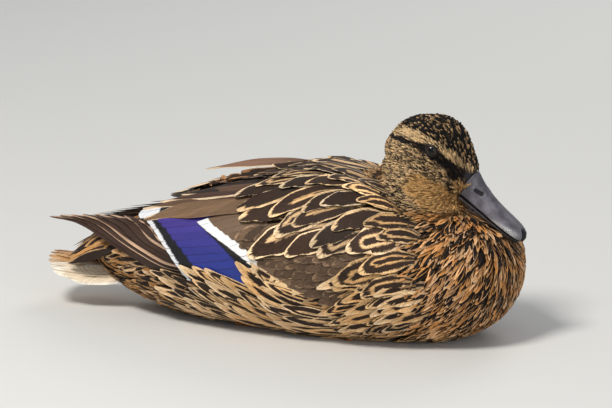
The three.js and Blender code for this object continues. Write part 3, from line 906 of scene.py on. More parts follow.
def skin_tint(verts):
    """The coat's own markings, blended as they look from a distance, with dark rims to the lids and painted
    shade at the bill's root.
    """
    seen = plumage(verts)
    covered = np.clip(seen["marks"][:, :1], 0.1, 0.9) ** 1.5
    tint = 0.6 * (seen["light"] * (1 - covered) + seen["dark"] * covered)
    for side in SIDES.values():
        off_eye = np.linalg.norm(verts - eye_axes(side)[0], axis=1) / MM
        tint += (1 - smoothstep(5.8, 7.5, off_eye))[:, None] * (linear((24, 18, 15)) - tint)
    forward, _, up = head_frame(verts)
    horn = smoothstep(-9, -5, forward) * smoothstep(-5, -3, up)  # painted shade: dark grey where the skin meets the bill's root under the feathers
    tint += horn[:, None] * (linear((44, 40, 45)) - tint)
    return np.hstack([tint, np.ones((len(tint), 1))])


def skin_material():
    g = Graph("skin")
    pores = g.noise(g.place(), 900)
    patches = g.noise(g.place(), 60, 2.0)
    colour = g.shaded(g.attribute("tint")[0], patches * 0.7 + 0.6)
    g.bump(pores, 0.5, 0.0003)
    return g.finish(Base_Color=colour, Roughness=pores * 0.3 + 0.55, Specular_IOR_Level=0.35)


# ------------------------------------------------------------------ eyes, bill, legs and feet
def make_eye(name, side, material):
    """A glossy eyeball with a bulging clear front over the iris and a round pupil."""
    centre, gaze, back, up = eye_axes(side)
    polar = np.concatenate([[0.002], np.linspace(0.04, 0.9, 22), np.linspace(1.0, np.pi - 0.002, 20)])
    turn = np.linspace(0, 2 * np.pi, 65)[:-1]
    radius = EYE_RADIUS + 0.16 * bell(polar, 0.5)
    spread = back * np.cos(turn)[:, None] + up * np.sin(turn)[:, None]
    rings = gaze * np.cos(polar)[:, None, None] + spread[None] * np.sin(polar)[:, None, None]
    rings = centre + rings * radius[:, None, None] * MM
    eye = grid_object(name + "_ball", rings if side < 0 else rings[:, ::-1])
    held = eye.data.attributes.new("off_axis", "FLOAT", "POINT")
    held.data.foreach_set("value", np.repeat(polar, len(turn)).astype(np.float32))
    eye.data.materials.append(material)
    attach(eye, "root")
    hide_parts(name)


IRIS_EDGE = (0.72, 0.88)  # angles off the eye's axis
PUPIL_EDGE = (0.40, 0.45)


def eye_material():
    g = Graph("wet_eye")
    off_axis = g.attribute("off_axis")[2]
    grain = g.noise(g.place(), 1500)
    iris = g.mix(grain, (0.016, 0.008, 0.005), (0.04, 0.019, 0.01))
    colour = g.mix(g.step(off_axis, *IRIS_EDGE), iris, (0.008, 0.006, 0.005))
    colour = g.mix(g.step(off_axis, *PUPIL_EDGE), (0.002, 0.002, 0.002), colour)
    g.bump(grain, 0.1, 0.00005)
    return g.finish(Base_Color=colour, Roughness=grain * 0.06 + 0.05, Specular_IOR_Level=0.3)


# lines on the side of the bill, as (forward, up) from its base
NOSTRIL = np.array([(6.0, 6.6), (10.6, 7.3)])
CULMEN = [(-6, 15.5), (0.6, 15.3), (8, 13.5), (20, 9.5), (32, 7.5), (44, 6.0)]
CUTTING_EDGE = [(-5, -2.5), (10, -2.4), (24, -2.6), (34, -0.6), (44, 2.2)]


def off_nostril(forward, up):
    """How far places on the bill's side are from the nostril's line."""
    start, way = NOSTRIL[0], NOSTRIL[1] - NOSTRIL[0]
    points = np.stack([forward, up], 1)
    share = np.clip((points - start) @ way / (way @ way), 0, 1)
    return np.linalg.norm(points - start - share[:, None] * way, axis=1)


def shape_upper_bill(forward, out, up):
    """How far the upper bill's skin is pushed out (mm), painted shade in its pits, its pale edge, and its
    dark ridge with painted shade at its root.
    """
    hole = off_nostril(forward, up)
    sideways = smoothstep(2.0, 3.5, out)
    above_edge = up - along_line(forward, CUTTING_EDGE)
    below_ridge = 1 - smoothstep(-0.5, 1.5, up - along_line(forward, CULMEN) + 2.0)
    push = -1.5 * (1 - smoothstep(0.4, 1.4, hole)) * sideways
    push += 0.32 * bell(hole - 2.1, 0.7) * sideways
    push += 0.25 * below_ridge * bell(out - 3.0, 2.5)
    push -= 1.8 * (1 - smoothstep(-0.6, 0.7, forward - along_line(up, FEATHER_FRONT)))
    # painted shade for the inside of the nostrils
    pit_shade = (1 - smoothstep(0.6, 1.2, hole)) * sideways
    pale = smoothstep(0.5, 0.98, out / np.maximum(out[forward > 20].max(), 1))
    pale *= smoothstep(20, 30, forward) * (1 - smoothstep(2.0, 4.2, above_edge))
    ridge = bell(out, 2.2) * smoothstep(4, 8, above_edge) * 0.5
    # painted shade at the root, where the feathers meet the bill, joined with the dark ridge along the top
    dark_and_root_shade = np.maximum(1 - smoothstep(-1, 8.5, forward + 0.5 * up - 2), ridge)
    return push, pit_shade, pale, dark_and_root_shade


def make_bill_half(name, node, material):
    """The horn skin of one half of the bill; only the upper half has nostrils and a worn edge."""
    obj = remeshed(name, *joined([node]), voxel=0.45, rounds=3)
    verts, _ = mesh_arrays(obj)
    normals = vertex_normals(obj)
    forward, out, up = head_frame(verts)
    none, full = np.zeros(len(verts)), np.ones(len(verts))
    # the lower half has no pits or pale edge and is darkened all over
    push, pit_shade, pale, dark_and_root_shade = (none, none, none, full)
    if node == "bill_upper":
        push, pit_shade, pale, dark_and_root_shade = shape_upper_bill(forward, out, up)
    push = push + 0.07 * np.sin(forward * 2.1 + np.sin(up * 1.3) * 1.5) * bell(forward - 1.0, 4.0)
    set_verts(obj, verts + normals * (push * MM)[:, None])
    hold_colours(obj, "zones", np.stack([pit_shade, pale, dark_and_root_shade, full], 1))
    obj.data.materials.append(material)
    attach(obj, "root")
    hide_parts(node)


def bill_material():
    g = Graph("slate_bill")
    pit_shade, pale, dark_and_root_shade = g.split(g.attribute("zones")[1])
    broad = g.noise(g.place(), 110, roughness=0.6)
    fine = g.noise(g.place(), 1400, roughness=0.6)
    colour = g.mix(g.step(broad, 0.35, 0.7), (0.075, 0.068, 0.08), (0.17, 0.155, 0.185))
    # darker by painted shade at the root, along the ridge, and over the whole lower half
    colour = g.mix(dark_and_root_shade * 0.8, colour, (0.03, 0.026, 0.028))
    colour = g.mix(pale * g.step(fine, 0.3, 0.6), colour, (0.52, 0.51, 0.49))
    # painted shade in the nostril pits
    colour = g.mix(pit_shade, colour, (0.004, 0.004, 0.004))
    g.bump(fine * 0.3 + broad, 0.25, 0.0006)
    colour = g.shaded(colour, fine * 0.4 + 0.8)
    return g.finish(Base_Color=colour, Roughness=broad * 0.25 + 0.28, Specular_IOR_Level=0.5)


def make_nail():
    obj = remeshed("nail_horn", *joined(["bill_nail"]), voxel=0.3, rounds=3)
    g = Graph("nail_horn")
    grain = g.noise(g.place(), 700)
    colour = g.mix(grain, (0.003, 0.003, 0.0035), (0.012, 0.011, 0.012))
    g.bump(grain, 0.2, 0.0003)
    horn = g.finish(Base_Color=colour, Roughness=grain * 0.25 + 0.4, Specular_IOR_Level=0.2)
    obj.data.materials.append(horn)
    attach(obj, "root")
    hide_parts("bill_nail")


def foot_material():
    g = Graph("foot_skin")
    scale = g.node("TexVoronoi", (("Scale", 900), ("Vector", g.place())))[0]
    broad = g.noise(g.place(), 90)
    colour = g.mix(broad, (0.42, 0.13, 0.025), (0.62, 0.24, 0.06))
    colour = g.mix(g.step(scale, 0.35, 0.75), colour, (0.2, 0.07, 0.02))
    g.bump(1.0 - scale, 0.6, 0.0004)
    return g.finish(Base_Color=colour, Roughness=broad * 0.3 + 0.4)


def make_feet():
    material = foot_material()
    for label in SIDES:
        for part in ("leg", "foot"):
            obj = remeshed(f"{part}_scales_{label}", *joined([f"{part}_{label}"]), voxel=0.5, rounds=3)
            obj.data.materials.append(material)
            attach(obj, "root")
            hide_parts(f"{part}_{label}")


# ------------------------------------------------------------------ the coat
def ripple(points, scale, seed):
    """Smooth noise over space, about -1 to 1, from a few crossed waves."""
    waves = np.random.default_rng(seed)
    total = np.zeros(len(points))
    for _ in range(7):
        way = unit(waves.normal(size=3)) * 2 * np.pi / (scale * waves.uniform(0.7, 1.6))
        total += np.sin(points / MM @ way + waves.uniform(0, 6.28))
    return total / 3.2


def ripples(points, scale, seeds):
    return np.stack([ripple(points, scale, seed) for seed in seeds], 1)


def picked(lay, chosen):
    return {key: value[chosen] if isinstance(value, np.ndarray) else value for key, value in lay.items()}


def pushed(lay, out):
    """The vanes moved by a step of their own each, in metres."""
    return dict(lay, top=lay["top"] + out[:, None, None], under=lay["under"] + out[:, None, None])


def on_head(points):
    """Where the head's and neck's own coat grows."""
    off_head = off_head_centre(points)
    within = (crease_distance(points) < 0) & (off_head < 50 - 6 * smoothstep(84, 100, points[:, 0] / MM))
    return (within & (points[:, 2] > 80 * MM)) | ((off_head < 36) & (points[:, 2] > 100 * MM))


HEAD_SEEDS = 90000
BODY_SEEDS = 32000
BARE_RING = 6.3  # how far round the eye's centre nothing grows
DARK_TUFT, DEEP_TUFT, PALE_TUFT = streaked(0.9), streaked(1.7), streaked(0.12, 0.2)


def make_head_coat(form, material):
    """Short hair-like feathers over the head, longest on the nape, with a bare ring round each eye."""
    def spacing(points):
        forward, _, _ = head_frame(points)
        return 0.86 + 0.9 * smoothstep(32, 50, off_head_centre(points)) - 0.12 * smoothstep(-16, -4, forward)

    def keep(points):
        forward, _, up = head_frame(points)
        under_bill = (forward > along_line(up, FEATHER_FRONT)) & (up > -4)
        kept = on_head(points) & ~under_bill
        for side in SIDES.values():
            centre, _, _, lid_up = eye_axes(side)
            away = (points - centre) / MM
            kept &= np.sqrt((away ** 2).sum(1) + 0.75 * (away @ lid_up) ** 2) > BARE_RING
        return kept

    roots = scattered(form, keep, spacing, HEAD_SEEDS)
    size = spacing(roots) / 1.1
    headings = unit(lie(roots)) + rng.normal(0, 0.10, roots.shape) + 0.22 * ripples(roots, 7, (1, 2, 3))
    lengths = 5.4 * size * rng.uniform(0.8, 1.2, len(roots))
    line = marched(form, roots, headings, lengths, rows=5)
    lay = vanes(form, line, half=0.54 * size, columns=3, lift=(-1.4, 0.0), tip=1.6, droop=0.2,
                thick=0.25, fray=0.3)
    forward, _, up = head_frame(roots)
    nape = 2.2 * smoothstep(-44, -58, forward) * smoothstep(-34, -20, up)
    lay = pushed(lay, form.nearest(roots)[1] * (nape * MM)[:, None])
    seen = plumage(roots)
    dark_share = seen["marks"][:, 0]
    all_dark = rng.random(len(roots)) + 0.16 * ripple(roots, 2.8, 4) < dark_share
    deep = np.where(dark_share[:, None] > 0.68, [DEEP_TUFT], [DARK_TUFT])
    seen["marks"] = np.where(all_dark[:, None], deep, [PALE_TUFT])
    lay = coloured(lay, seen, jitter=0.16, mark_jitter=0.03)
    sides = roots[:, 1] < 0
    front = roots @ FORWARD > np.median(roots @ FORWARD)
    for label, chosen in (("right", sides), ("left", ~sides)):
        coat_piece(f"coat_face_{label}", [picked(lay, chosen & front)], material, "plumage", HEAD_EGG)
        coat_piece(f"coat_nape_{label}", [picked(lay, chosen & ~front)], material, "plumage", HEAD_EGG)


# length, half-width and spacing of the body's feathers, painted over each other region by region
FEATHER_SIZES = {
    "belly": (15.0, 3.6, 5.4),
    "flank": (25, 3.4, 5.4),
    "rump": (19, 2.5, 3.6),
    "wing": (14, 5.0, 7.0),
    "mantle": (24, 3.6, 5.2),
    "breast": (14, 1.75, 2.6),
    "collar": (9, 1.4, 2.2),
}


def body_size(points):
    """Length, half-width and spacing of the body's feathers at the given places."""
    shares = region_shares(points)
    sizes = np.zeros((3, len(points)))
    for name, wanted in FEATHER_SIZES.items():
        for values, value in zip(sizes, wanted):
            values += shares[name] * (value - values)
    return sizes


def make_body_coat(bulk, form, material):
    """The body's own feathers, which also lie under the long feathers of the wings."""
    def keep(points):
        y, z = np.abs(points[:, 1]) / MM, points[:, 2] / MM
        feet = (points[:, 0] > -48 * MM) & (points[:, 0] < 47 * MM) & (y > 11) & (y < 41) & (z < 4.5)
        buried = np.linalg.norm(form.nearest(points)[0] - points, axis=1) > 2.0 * MM
        return ~on_head(points) & ~feet & ~buried

    roots = scattered(bulk, keep, lambda points: body_size(points)[2], BODY_SEEDS)
    length, half, _ = body_size(roots)
    headings = unit(lie(roots)) + rng.normal(0, 0.14, roots.shape) + 0.2 * ripples(roots, 24, (5, 6, 7))
    length = length * rng.uniform(0.8, 1.2, len(roots))
    half = half * rng.uniform(0.8, 1.2, len(roots))
    line = marched(bulk, roots, headings, length, rows=8)
    lay = vanes(bulk, line, half=half, columns=7, lift=(-3.2, 0.0), outline="lance", tip=2.0, droop=0.5,
                fray=0.3)
    turn, x = turn_about(roots), roots[:, 0] / MM
    sunk = smoothstep(-2, 6, turn) * (1 - smoothstep(60, 80, x)) * (1 - smoothstep(58, 70, turn))
    lay = pushed(lay, bulk.nearest(roots)[1] * (sunk * -1.6 * MM)[:, None])
    shares, seen = region_shares(roots), plumage(roots)
    uneven = 0.07 + 0.12 * np.maximum(shares["breast"], shares["rump"])[:, None]
    patchy = np.maximum(shares["breast"], 0.8 * shares["rump"])
    swing = np.where(rng.random(len(roots)) + 0.15 * ripple(roots, 9, 8) < 0.5, 0.26, -0.34)
    seen["marks"][:, 0] += patchy * swing
    lay = coloured(lay, seen, jitter=0.16, mark_jitter=uneven, pale=0.45)
    left = roots[:, 1] > 0
    zones = {"breast_right": (x > 84) & ~left, "breast_left": (x > 84) & left, "side": (x <= 84) & (x > 40),
             "middle": (x <= 40) & (x > -40), "rear": x <= -40}
    for label, chosen in zones.items():
        coat_piece(f"coat_{label}", [picked(lay, chosen)], material, "plumage", BODY_EGG)


MARKS = {
    "dark": streaked(0.88, -0.1),
    "stripe": (0.0, 0.25, 0.87, -0.1),
    "buff": (0.20, 0.42, 0.82, -0.1),
    "mottle": (0.34, 0.54, 0.86, -0.1),
    "streak": streaked(0.40, -0.1),
}

# x and turn of the tip, x and turn of the root, half-width and marks, the same on both wings
SCAPULARS = [
    (-42, 49, -6, 62, 6.5, "dark"), (-37, 38, 2, 54, 7.0, "dark"), (-33, 32, 6, 42, 7.5, "dark"),
    (-36, 70, 0, 76, 6.5, "dark"), (-30, 57, 2, 66, 6.0, "buff"), (-22, 78, 14, 82, 6.5, "dark"),
    (-20, 64, 14, 72, 6.0, "buff"), (-21, 9.6, 32, 32, 9.5, "stripe"), (-11, 33, 32, 58, 7.5, "stripe"),
    (-10, 54, 22, 64, 6.5, "dark"), (-4, 83, 45, 79, 6.5, "stripe"), (-4, 22, 32, 42, 8.0, "buff"),
    (0, 71, 34, 76, 6.0, "dark"), (6, 57, 36, 67, 6.0, "dark"), (6, 29, 42, 46, 7.0, "stripe"),
    (5, 12, 42, 26, 7.0, "dark"), (12, 38, 44, 56, 6.5, "dark"), (17, 75, 50, 73, 5.5, "stripe"),
    (18, 64, 48, 70, 6.0, "stripe"), (20, 19, 54, 36, 7.0, "dark"), (22, 43, 56, 55, 6.5, "dark"),
    (27, 13, 60, 31, 7.5, "buff"), (30, 58, 60, 60, 6.0, "mottle"), (34, 29, 66, 43, 7.0, "dark"),
    (36, 69, 66, 66, 5.5, "mottle"), (36, 1, 78, 12, 8.5, "buff"), (46, 19, 82, 31, 9.5, "buff"),
    (44, 48, 74, 51, 5.5, "mottle"), (52, 35, 84, 42, 6.5, "mottle"), (54, 8, 88, 18, 7.0, "buff"),
    (56, -6, 90, 2, 6.5, "mottle"), (62, 26, 90, 32, 6.0, "mottle"),
]

# x and turn of the tips, from the shortest primary to the longest
PRIMARY_TIPS = [(-112, 33), (-127, 42), (-140, 48), (-152, 53),
                (-163, 57), (-173, 62), (-182, 67), (-190.5, 73)]
# route, half-width and brown, from the back's middle outwards
TERTIALS = [
    ([(5, 66), (-45, 64), (-86, 60)], 8, (48, 35, 28)),
    ([(0, 60), (-50, 58), (-101, 55)], 8, (74, 52, 41)),
    ([(-4, 54), (-55, 53), (-113, 49)], 9.5, (100, 74, 56)),
    ([(-8, 48), (-58, 47), (-108, 33)], 13, (126, 98, 72)),
]
RIDGE_ROOTS = ((0, 84), (-14, 78), (-26, 86), (-38, 79), (-50, 87), (-60, 80), (-70, 87))
COVERT_LINE = [(-20, 14), (-9, 2), (4, -26), (27, -61)]  # turn, and x of the greater coverts' tips
BLACK = np.array([0.006, 0.005, 0.007])


def marks_of(names):
    return np.array([MARKS[name] for name in names])


def leaning(side):
    """Every wing feather is turned a little about its shaft, so that it lies over the next."""
    return {"tilt": -side * 0.35, "roll": 0.1}


def primaries(form, side):
    """Long brown feathers over the tail, each over the next longer one."""
    count = len(PRIMARY_TIPS)
    routes = []
    for share, tip in zip(np.linspace(0, 1, count), PRIMARY_TIPS):
        routes.append([lerp((-67, 14), (-70, -10), share), lerp((-88, 22), (-121, 8), share), tip])
    line = eased(routed(form, routes, side, 22))
    lift = np.array([[-2.4], [0.0]]) - 0.12 * np.arange(count)
    lay = vanes(None, line, half=np.linspace(7.5, 6, count), columns=9, lift=lift, outline="pointed",
                tip=2.2, droop=0.3, thick=0.4, fray=0.05, roll=0.01, tilt=-side * 0.7)
    return [coloured(lay, paint((66, 47, 37), (196, 162, 134), streaked(0.93)), jitter=0.06, mark_jitter=0.0)]


def secondaries(form, side):
    """The blue speculum with its black bar and white tips, and one dark feather inside of it."""
    share = np.linspace(0, 1, 11)
    routes = [arched(lerp((-34, 38), (2, 2), s), lerp((-106, 33), (-66, -15), s), 2 - 4 * s) for s in share]
    outer = vanes(form, routed(form, routes, side, 20), half=5.2, columns=9, lift=(-1.9, -0.3),
                  outline="flight", tip=0.25, droop=0.2, thick=0.4, fray=0.08, skew=-side * 0.53,
                  **leaning(side))
    share = share[:, None]
    blue = {"dark": blend((66, 48, 134), (16, 52, 136), share), "light": BLACK,
            "marks": np.hstack([0.885 - 0.11 * share, 0.945 + 0.02 * share, share * 0, share * 0])}
    coloured(outer, blue, jitter=0.05, mark_jitter=0.002)
    line = eased(routed(form, [[(-60, 48), (-86, 46), (-114, 42)]], side, 20))
    inner = vanes(None, line, half=6.5, columns=9, lift=(-1.6, 0.2), outline="flight", tip=0.5,
                  droop=0.8, thick=0.4, fray=0.08, **leaning(side))
    black = paint((60, 44, 40), (24, 18, 20), (0.6, 0.72, 0, 0))
    return [outer, coloured(inner, black, jitter=0, mark_jitter=0)]


def greater_coverts(form, side):
    """Brown feathers whose white bars, buff on the lower ones, and black tips border the blue."""
    share = np.linspace(0, 1, 13)
    bend = 0.7  # the share at which the line of their tips turns
    tip_x = along_line(share, [(0, -61), (bend, -26), (1, 2)])
    tip_turn = along_line(share, [(0, 27), (bend, 4), (1, -9)])
    routes = [arched((x + 36, turn + 10 + 3 * s), (x, turn), 1) for x, turn, s in zip(tip_x, tip_turn, share)]
    skew = -side * (0.71 + 0.3 * smoothstep(0.4, 0.8, share))
    lay = vanes(form, routed(form, routes, side, 18), half=5.0, columns=9, lift=(-1.6, 0.1),
                outline="flight", tip=0.1, droop=0.2, thick=0.3, skew=skew, fray=0.04, **leaning(side))
    share = share[:, None]
    black = 1.0 - 0.10 * smoothstep(0, 0.6, share) + 0.2 * smoothstep(0.68, 0.74, share)
    below = smoothstep(0.6, 0.8, share)
    paints = {"dark": linear((112, 88, 66)), "light": blend((244, 243, 240), (232, 196, 146), below),
              "marks": np.hstack([np.minimum(black, 1.0) - 0.2, black, share * 0, share * 0])}
    return [coloured(lay, paints, jitter=0.05, mark_jitter=0.003)]


def tertials(form, side):
    """Broad plain feathers that close the folded wing above."""
    routes, half, browns = zip(*TERTIALS)
    lay = vanes(None, eased(routed(form, routes, side, 24)), half=np.array(half), columns=13,
                lift=(-1.4, 0.5), outline="pointed", tip=0.9, droop=1.4, thick=0.5, fray=0.06,
                **leaning(side))
    return [coloured(lay, paint(browns, (236, 208, 172), streaked(0.955)), jitter=0.05, mark_jitter=0.005)]


def small_coverts(form, side):
    """Plain brown feathers in rows between the greater coverts and the scapulars."""
    roots = [(x - 3 * (row % 2) + rng.uniform(-1.4, 1.4), turn + rng.uniform(-1, 1))
             for row, turn in enumerate(np.arange(-9, 24, 4.6)) for x in range(-30, 52, 7)]
    roots = [(x, turn) for x, turn in roots if along_line(turn, COVERT_LINE) + 25 < x < 46 + turn * 0.6]
    routes = [[(x + 10, turn + 3), (x + 2, turn), (x - 7, turn - 4)] for x, turn in roots]
    lay = vanes(form, routed(form, routes, side, 10), half=5.4, columns=9, lift=(-1.1, 0.2),
                outline="oval", tip=1.5, droop=0.3, fray=0.2, **leaning(side))
    return [coloured(lay, paint((94, 73, 55), (132, 108, 84), streaked(0.9)), jitter=0.2, mark_jitter=0.06)]


def ridge(form, side):
    """Dark feathers along the middle of the back."""
    routes = [arched((x, turn), (x - 44, turn - 4), 0.5) for x, turn in RIDGE_ROOTS]
    lay = vanes(form, routed(form, routes, side, 18), half=5.5, columns=11, lift=(-1.8, 0.9),
                outline="body", tip=1.6, droop=0.4, thick=0.2, **leaning(side))
    return [coloured(lay, paint((46, 32, 22), (168, 120, 78), MARKS["dark"]), jitter=0.2, mark_jitter=0.03)]


def scapulars(form, side):
    """The large marked feathers of the shoulder, each at its place in the photograph."""
    jitter = rng.uniform(-1.2, 1.2, (len(SCAPULARS), 2))
    routes = []
    for (tip_x, tip_turn, x, turn, _, _), (dx, dt) in zip(SCAPULARS, jitter):
        routes.append(arched((x, turn), (tip_x + dx, tip_turn + dt), 2.5 + dt / 2, dx / 2))
    _, _, root_x, _, half, names = zip(*SCAPULARS)
    lay = vanes(form, routed(form, routes, side, 18), half=1.08 * np.array(half), columns=13,
                lift=(-0.9, 1.6), outline="oval", tip=1.4, droop=0.5, thick=0.2, **leaning(side))
    front = smoothstep(20, 90, np.array(root_x))[:, None]
    paints = {"dark": linear((52, 35, 24)), "marks": marks_of(names),
              "light": blend((226, 190, 142), (226, 184, 130), front)}
    return [coloured(lay, paints, jitter=0.16, mark_jitter=0.03, pale=0.5)]


def flanks(form, side):
    """Rows of long feathers that sweep back and up over the wing's lower edge."""
    routes, names = [], []
    for row, turn in enumerate((-46, -38, -30, -22, -15)):
        for x in np.arange(70, -66, -12.5):
            root = (x + 6.2 * (row % 2) + rng.uniform(-3, 3), turn + rng.uniform(-2, 2))
            if root[0] > 66 - 8 * row:
                continue
            long = 42 + rng.uniform(-6, 6)
            rise = 14 * smoothstep(60, 20, root[0]) * smoothstep(-66, -30, root[0])
            rise += 7 * bell(root[0] - 12, 14)
            routes.append(arched(root, (root[0] - long, root[1] + rise), -0.08 * rise - 0.5))
            names.append(("streak", "stripe", "buff", "streak")[rng.integers(4)])
    for row, turn in enumerate((-26, -19, -12, -5, 2)):
        for x in np.arange(96, 56, -9.0):
            root = (x + 4.5 * (row % 2) + rng.uniform(-2, 2), turn + rng.uniform(-2, 2))
            long = 30 + rng.uniform(-5, 5)
            routes.append(arched(root, (root[0] - long, root[1] - 7), 1.5))
            names.append(("streak", "mottle", "buff", "streak")[rng.integers(4)])
    line = routed(form, routes, side, 18)
    half = rng.uniform(4.0, 5.6, len(routes))
    lay = vanes(form, line, half=half, columns=11, lift=(-1.8, 1.3), outline="lance", tip=2.0,
                droop=0.4, **leaning(side))
    paints = paint((44, 29, 19), (224, 182, 128), marks_of(names))
    return [coloured(lay, paints, jitter=0.14, mark_jitter=0.05, pale=0.5)]


def make_wing(form, label, materials):
    """One folded wing and its flank, group by group from the lowest feathers up."""
    groups = (
        ("primaries_vanes", primaries, "flight", "flight_feathers", {"patches": 8}),
        ("secondaries_vanes", secondaries, "mirror", "speculum", {"patches": 12}),
        ("greater_coverts", greater_coverts, "barred", "plumage", {"patches": 13}),
        ("tertials_vanes", tertials, "flight", "flight_feathers", {"patches": 4}),
        ("coverts", small_coverts, "coat", "plumage", {"egg": BODY_EGG}),
        ("ridge", ridge, "coat", "plumage", {"egg": BODY_EGG}),
        ("scapulars", scapulars, "coat", "plumage", {"egg": BODY_EGG}),
        ("flanks", flanks, "coat", "plumage", {"egg": BODY_EGG}),
    )
    for name, lays, material, slot, unwrap in groups:
        coat_piece(f"{name}_{label}", lays(form, SIDES[label]), materials[material], slot, **unwrap)
    for part in ("primaries", "secondaries", "tertials"):
        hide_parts(f"{part}_{label}")


def heights_under(surface, x, y, height):
    """How high (m) the surface is straight below the given places (mm)."""
    above = np.stack([x, y, np.full_like(x, height)], -1) * MM
    down = np.broadcast_to([0, 0, -1.0], above.shape)
    return surface.cast(above.reshape(-1, 3), down.reshape(-1, 3))[0].reshape(above.shape)[..., 2]


RUMP_ROWS = (-112, -121, -130, -139, -147)  # x of the roots


def make_tail(tail_material, coat_material):
    """A fan of tail feathers laid on the tail's own arch, and the coverts that close its root."""
    fan = Surface(remeshed("fan", *joined(["tail"]), voxel=1.2, rounds=4, grow=0.3))
    bpy.data.objects.remove(bpy.data.objects["fan"])
    spread = np.linspace(-1, 1, 10)[:, None]
    outer = np.abs(spread)
    share = np.linspace(0, 1, 18)
    x = -118 - share * (72 - 12 * spread ** 2)
    y = spread * (12 + 13 * share)
    z = heights_under(fan, x, 0.86 * y, 70.0)
    root_z, tip_z = z[:, 2:3], z[:, -1:]
    sag = outer * 3.5 * np.sin(np.pi * share) + 0.1 * np.abs(y)
    line = np.stack([x * MM, y * MM, root_z + (tip_z - root_z) * share - sag * MM], -1)
    lean = np.radians(40) * spread * np.ones_like(x)
    normals = np.stack([0 * x, np.sin(lean), np.cos(lean)], -1)
    lay = vanes(None, eased((line, normals)), half=7.0 + 1.6 * outer[:, 0], columns=9, lift=(-0.4, 0.3),
                outline="oval", tip=1.8, droop=0.5, thick=0.6, fray=0.04, roll=0.05,
                tilt=-np.sign(spread[:, 0]) * 0.5)
    pale = smoothstep(0.45, 0.75, outer)
    cream = {"dark": linear((106, 74, 50)), "light": blend((204, 160, 112), (244, 234, 216), pale),
             "marks": np.hstack([0.42 - 0.36 * outer, 0.62 + 1.4 * outer, 0.8 + 1.4 * outer, outer * 0.5])}
    lay = coloured(lay, cream, jitter=0.05, mark_jitter=0.03)
    obj = coat_piece("tail_vanes", [lay], tail_material, "tail_feathers", patches=10)
    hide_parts("tail")
    rump = guide(["trunk", "tail"])
    coverts = [rump_coverts(rump), upper_tail_coverts(rump, fan)]
    coat_piece("tail_coverts", coverts, coat_material, "plumage", BODY_EGG)


def rump_coverts(rump):
    """Rows of streaked feathers round the trunk's end, over the roots of the tail."""
    roots = [(x, turn) for row, x in enumerate(RUMP_ROWS)
             for turn in np.arange(-8 + 9 * row, 92, 10.0) + 5 * (row % 2)]
    starts = np.concatenate([rump.around(*np.array(roots).T, side)[0] for side in SIDES.values()])
    count = len(starts)
    ways = np.broadcast_to([-1.0, 0, -0.12], starts.shape) + starts * [0, -4.0, 0]
    line = marched(rump, starts, ways, rng.uniform(18, 26, count), rows=14, drift=0.0)
    lay = vanes(rump, line, half=rng.uniform(2.8, 4.0, count), columns=9, lift=(-1.0, 1.0),
                outline="lance", tip=2.2, droop=0.4, thick=0.2)
    marks = dark_or_streaked(count, 0.5, 0.4)
    return coloured(lay, paint((42, 28, 18), (186, 136, 80), marks), jitter=0.2, mark_jitter=0.08, pale=0.3)


def dark_or_streaked(count, dark_share, streak):
    """Marks by chance: some feathers all dark, and the others with a streak."""
    return np.where(rng.random((count, 1)) < dark_share, [streaked(0.9, -0.1)], [streaked(streak, -0.1)])


def upper_tail_coverts(rump, fan):
    """Longer feathers that bridge the step from the rump's end down to the tail."""
    y = np.concatenate([np.linspace(-26, 26, 17), np.linspace(-20, 20, 11)])
    count = len(y)
    layer = np.repeat([0.0, 1.0], [17, 11])
    from_x = -138 + 6 * layer + 0.2 * np.abs(y) + rng.uniform(-1.5, 1.5, count)
    to_x = -173 + 6 * layer + 0.3 * np.abs(y) + rng.uniform(-3, 3, count)
    ends = []
    for surface, x, across, gap in ((rump, from_x, y, -0.6), (fan, to_x, 0.9 * y, 1.5)):
        height = heights_under(surface, x, across, 90.0) + gap * MM
        ends.append(np.stack([x * MM, across * MM, height], 1)[:, None])
    first, last = ends
    control = np.stack([-156 + 0.3 * np.abs(y), 0 * y, -5 + 2 * layer], 1)[:, None] * MM + first * [0, 1, 1]
    line = bezier(first, control, last, np.linspace(0, 1, 16)[None, :, None])
    lean = np.radians(42) * y / 21
    out = np.stack([0 * lean, np.sin(lean), np.cos(lean)], 1)[:, None]
    normals = flat_to(np.broadcast_to(out, line.shape), unit(np.gradient(line, axis=1)))
    lay = vanes(None, (line, normals), half=rng.uniform(3.2, 4.2, count), columns=9, lift=(-0.5, 0.6),
                outline="lance", tip=1.8, droop=0.6, thick=0.2, fray=0.2)
    marks = dark_or_streaked(count, 0.4, 0.42)
    return coloured(lay, paint((44, 29, 19), (192, 144, 88), marks), jitter=0.2, mark_jitter=0.06, pale=0.3)


# root, a point that its curve is drawn towards, and tip
RAISED = np.array([(-8.0, 27.0, 99.5), (-45.0, 27.0, 101.0), (-89.0, 26.5, 89.5)])
RAISED_FACE = (0.12, -0.62, 0.78)


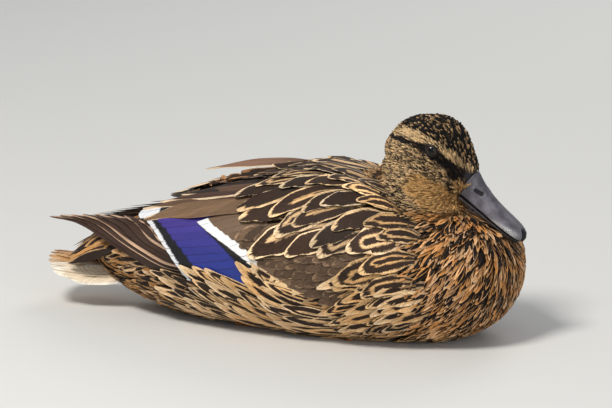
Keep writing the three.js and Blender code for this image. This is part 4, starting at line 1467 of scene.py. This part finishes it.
def make_raised_tertial(material):
    """The left wing's inner feather, which stands clear of the back and ends in a pale tip."""
    line = bezier(*RAISED, np.linspace(0, 1, 26)[:, None]) * MM
    normals = np.broadcast_to(unit(np.array(RAISED_FACE)), line.shape)
    lay = vanes(None, (line[None], normals[None]), half=3.7, columns=9, lift=(0.0, 0.0),
                outline="pointed", tip=2.2, droop=0.5, thick=0.5, roll=0)
    coloured(lay, paint((138, 104, 84), (232, 206, 172), streaked(0.9)), jitter=0.02, mark_jitter=0.01)
    obj = coat_piece("raised_tertial", [lay], material, "flight_feathers", patches=1)
    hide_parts("tertial_left_lifted")


GUIDE_SWELL = 0.5


def guide(names):
    """A smooth surface over the named nodes, on which feathers are laid."""
    obj = remeshed("guide", *joined(names), voxel=1.5, rounds=10, grow=GUIDE_SWELL)
    set_verts(obj, mesh_arrays(obj)[0] - vertex_normals(obj) * (GUIDE_SWELL * MM))
    surface = Surface(obj)
    bpy.data.objects.remove(obj)
    return surface


def build():
    make_camera()
    make_lights()
    make_floor()
    flesh = ["trunk", "wing_right", "wing_left", "leg_right", "leg_left", "foot_right", "foot_left"]
    head = ["head", "neck", "eye_right", "eye_left"]
    plates = [f"{part}_{label}" for part in ("tertials", "secondaries", "primaries") for label in SIDES]
    bulk, form = guide(flesh + head), guide(flesh + plates)
    materials = {
        "coat": vane_material("coat_vanes"),
        "flight": vane_material("flight_vanes", gloss=0.5, sheen=0.03, shaft_dark=0.6,
                                barb_scale=60.0, ragged=0.2),
        "barred": banded_material("barred_vanes", (0.008, 0.006, 0.006), gloss=0.5, coat=0.0),
        "mirror": banded_material("mirror_vanes", (0.8, 0.8, 0.82), gloss=0.42, coat=0.08),
        "tail": vane_material("tail_vanes", gloss=0.55, sheen=0.05, shaft_dark=0.45,
                              barb_scale=50.0, ragged=0.6),
    }
    make_skin()
    wet_eye, slate_bill = eye_material(), bill_material()
    for label, side in SIDES.items():
        make_eye(f"eye_{label}", side, wet_eye)
    for half in ("bill_upper", "bill_lower"):
        make_bill_half(f"{half}_skin", half, slate_bill)
    make_nail()
    make_feet()
    make_head_coat(bulk, materials["coat"])
    make_body_coat(bulk, form, materials["coat"])
    for label in SIDES:
        make_wing(form, label, materials)
    make_tail(materials["tail"], materials["coat"])
    make_raised_tertial(materials["flight"])


build()
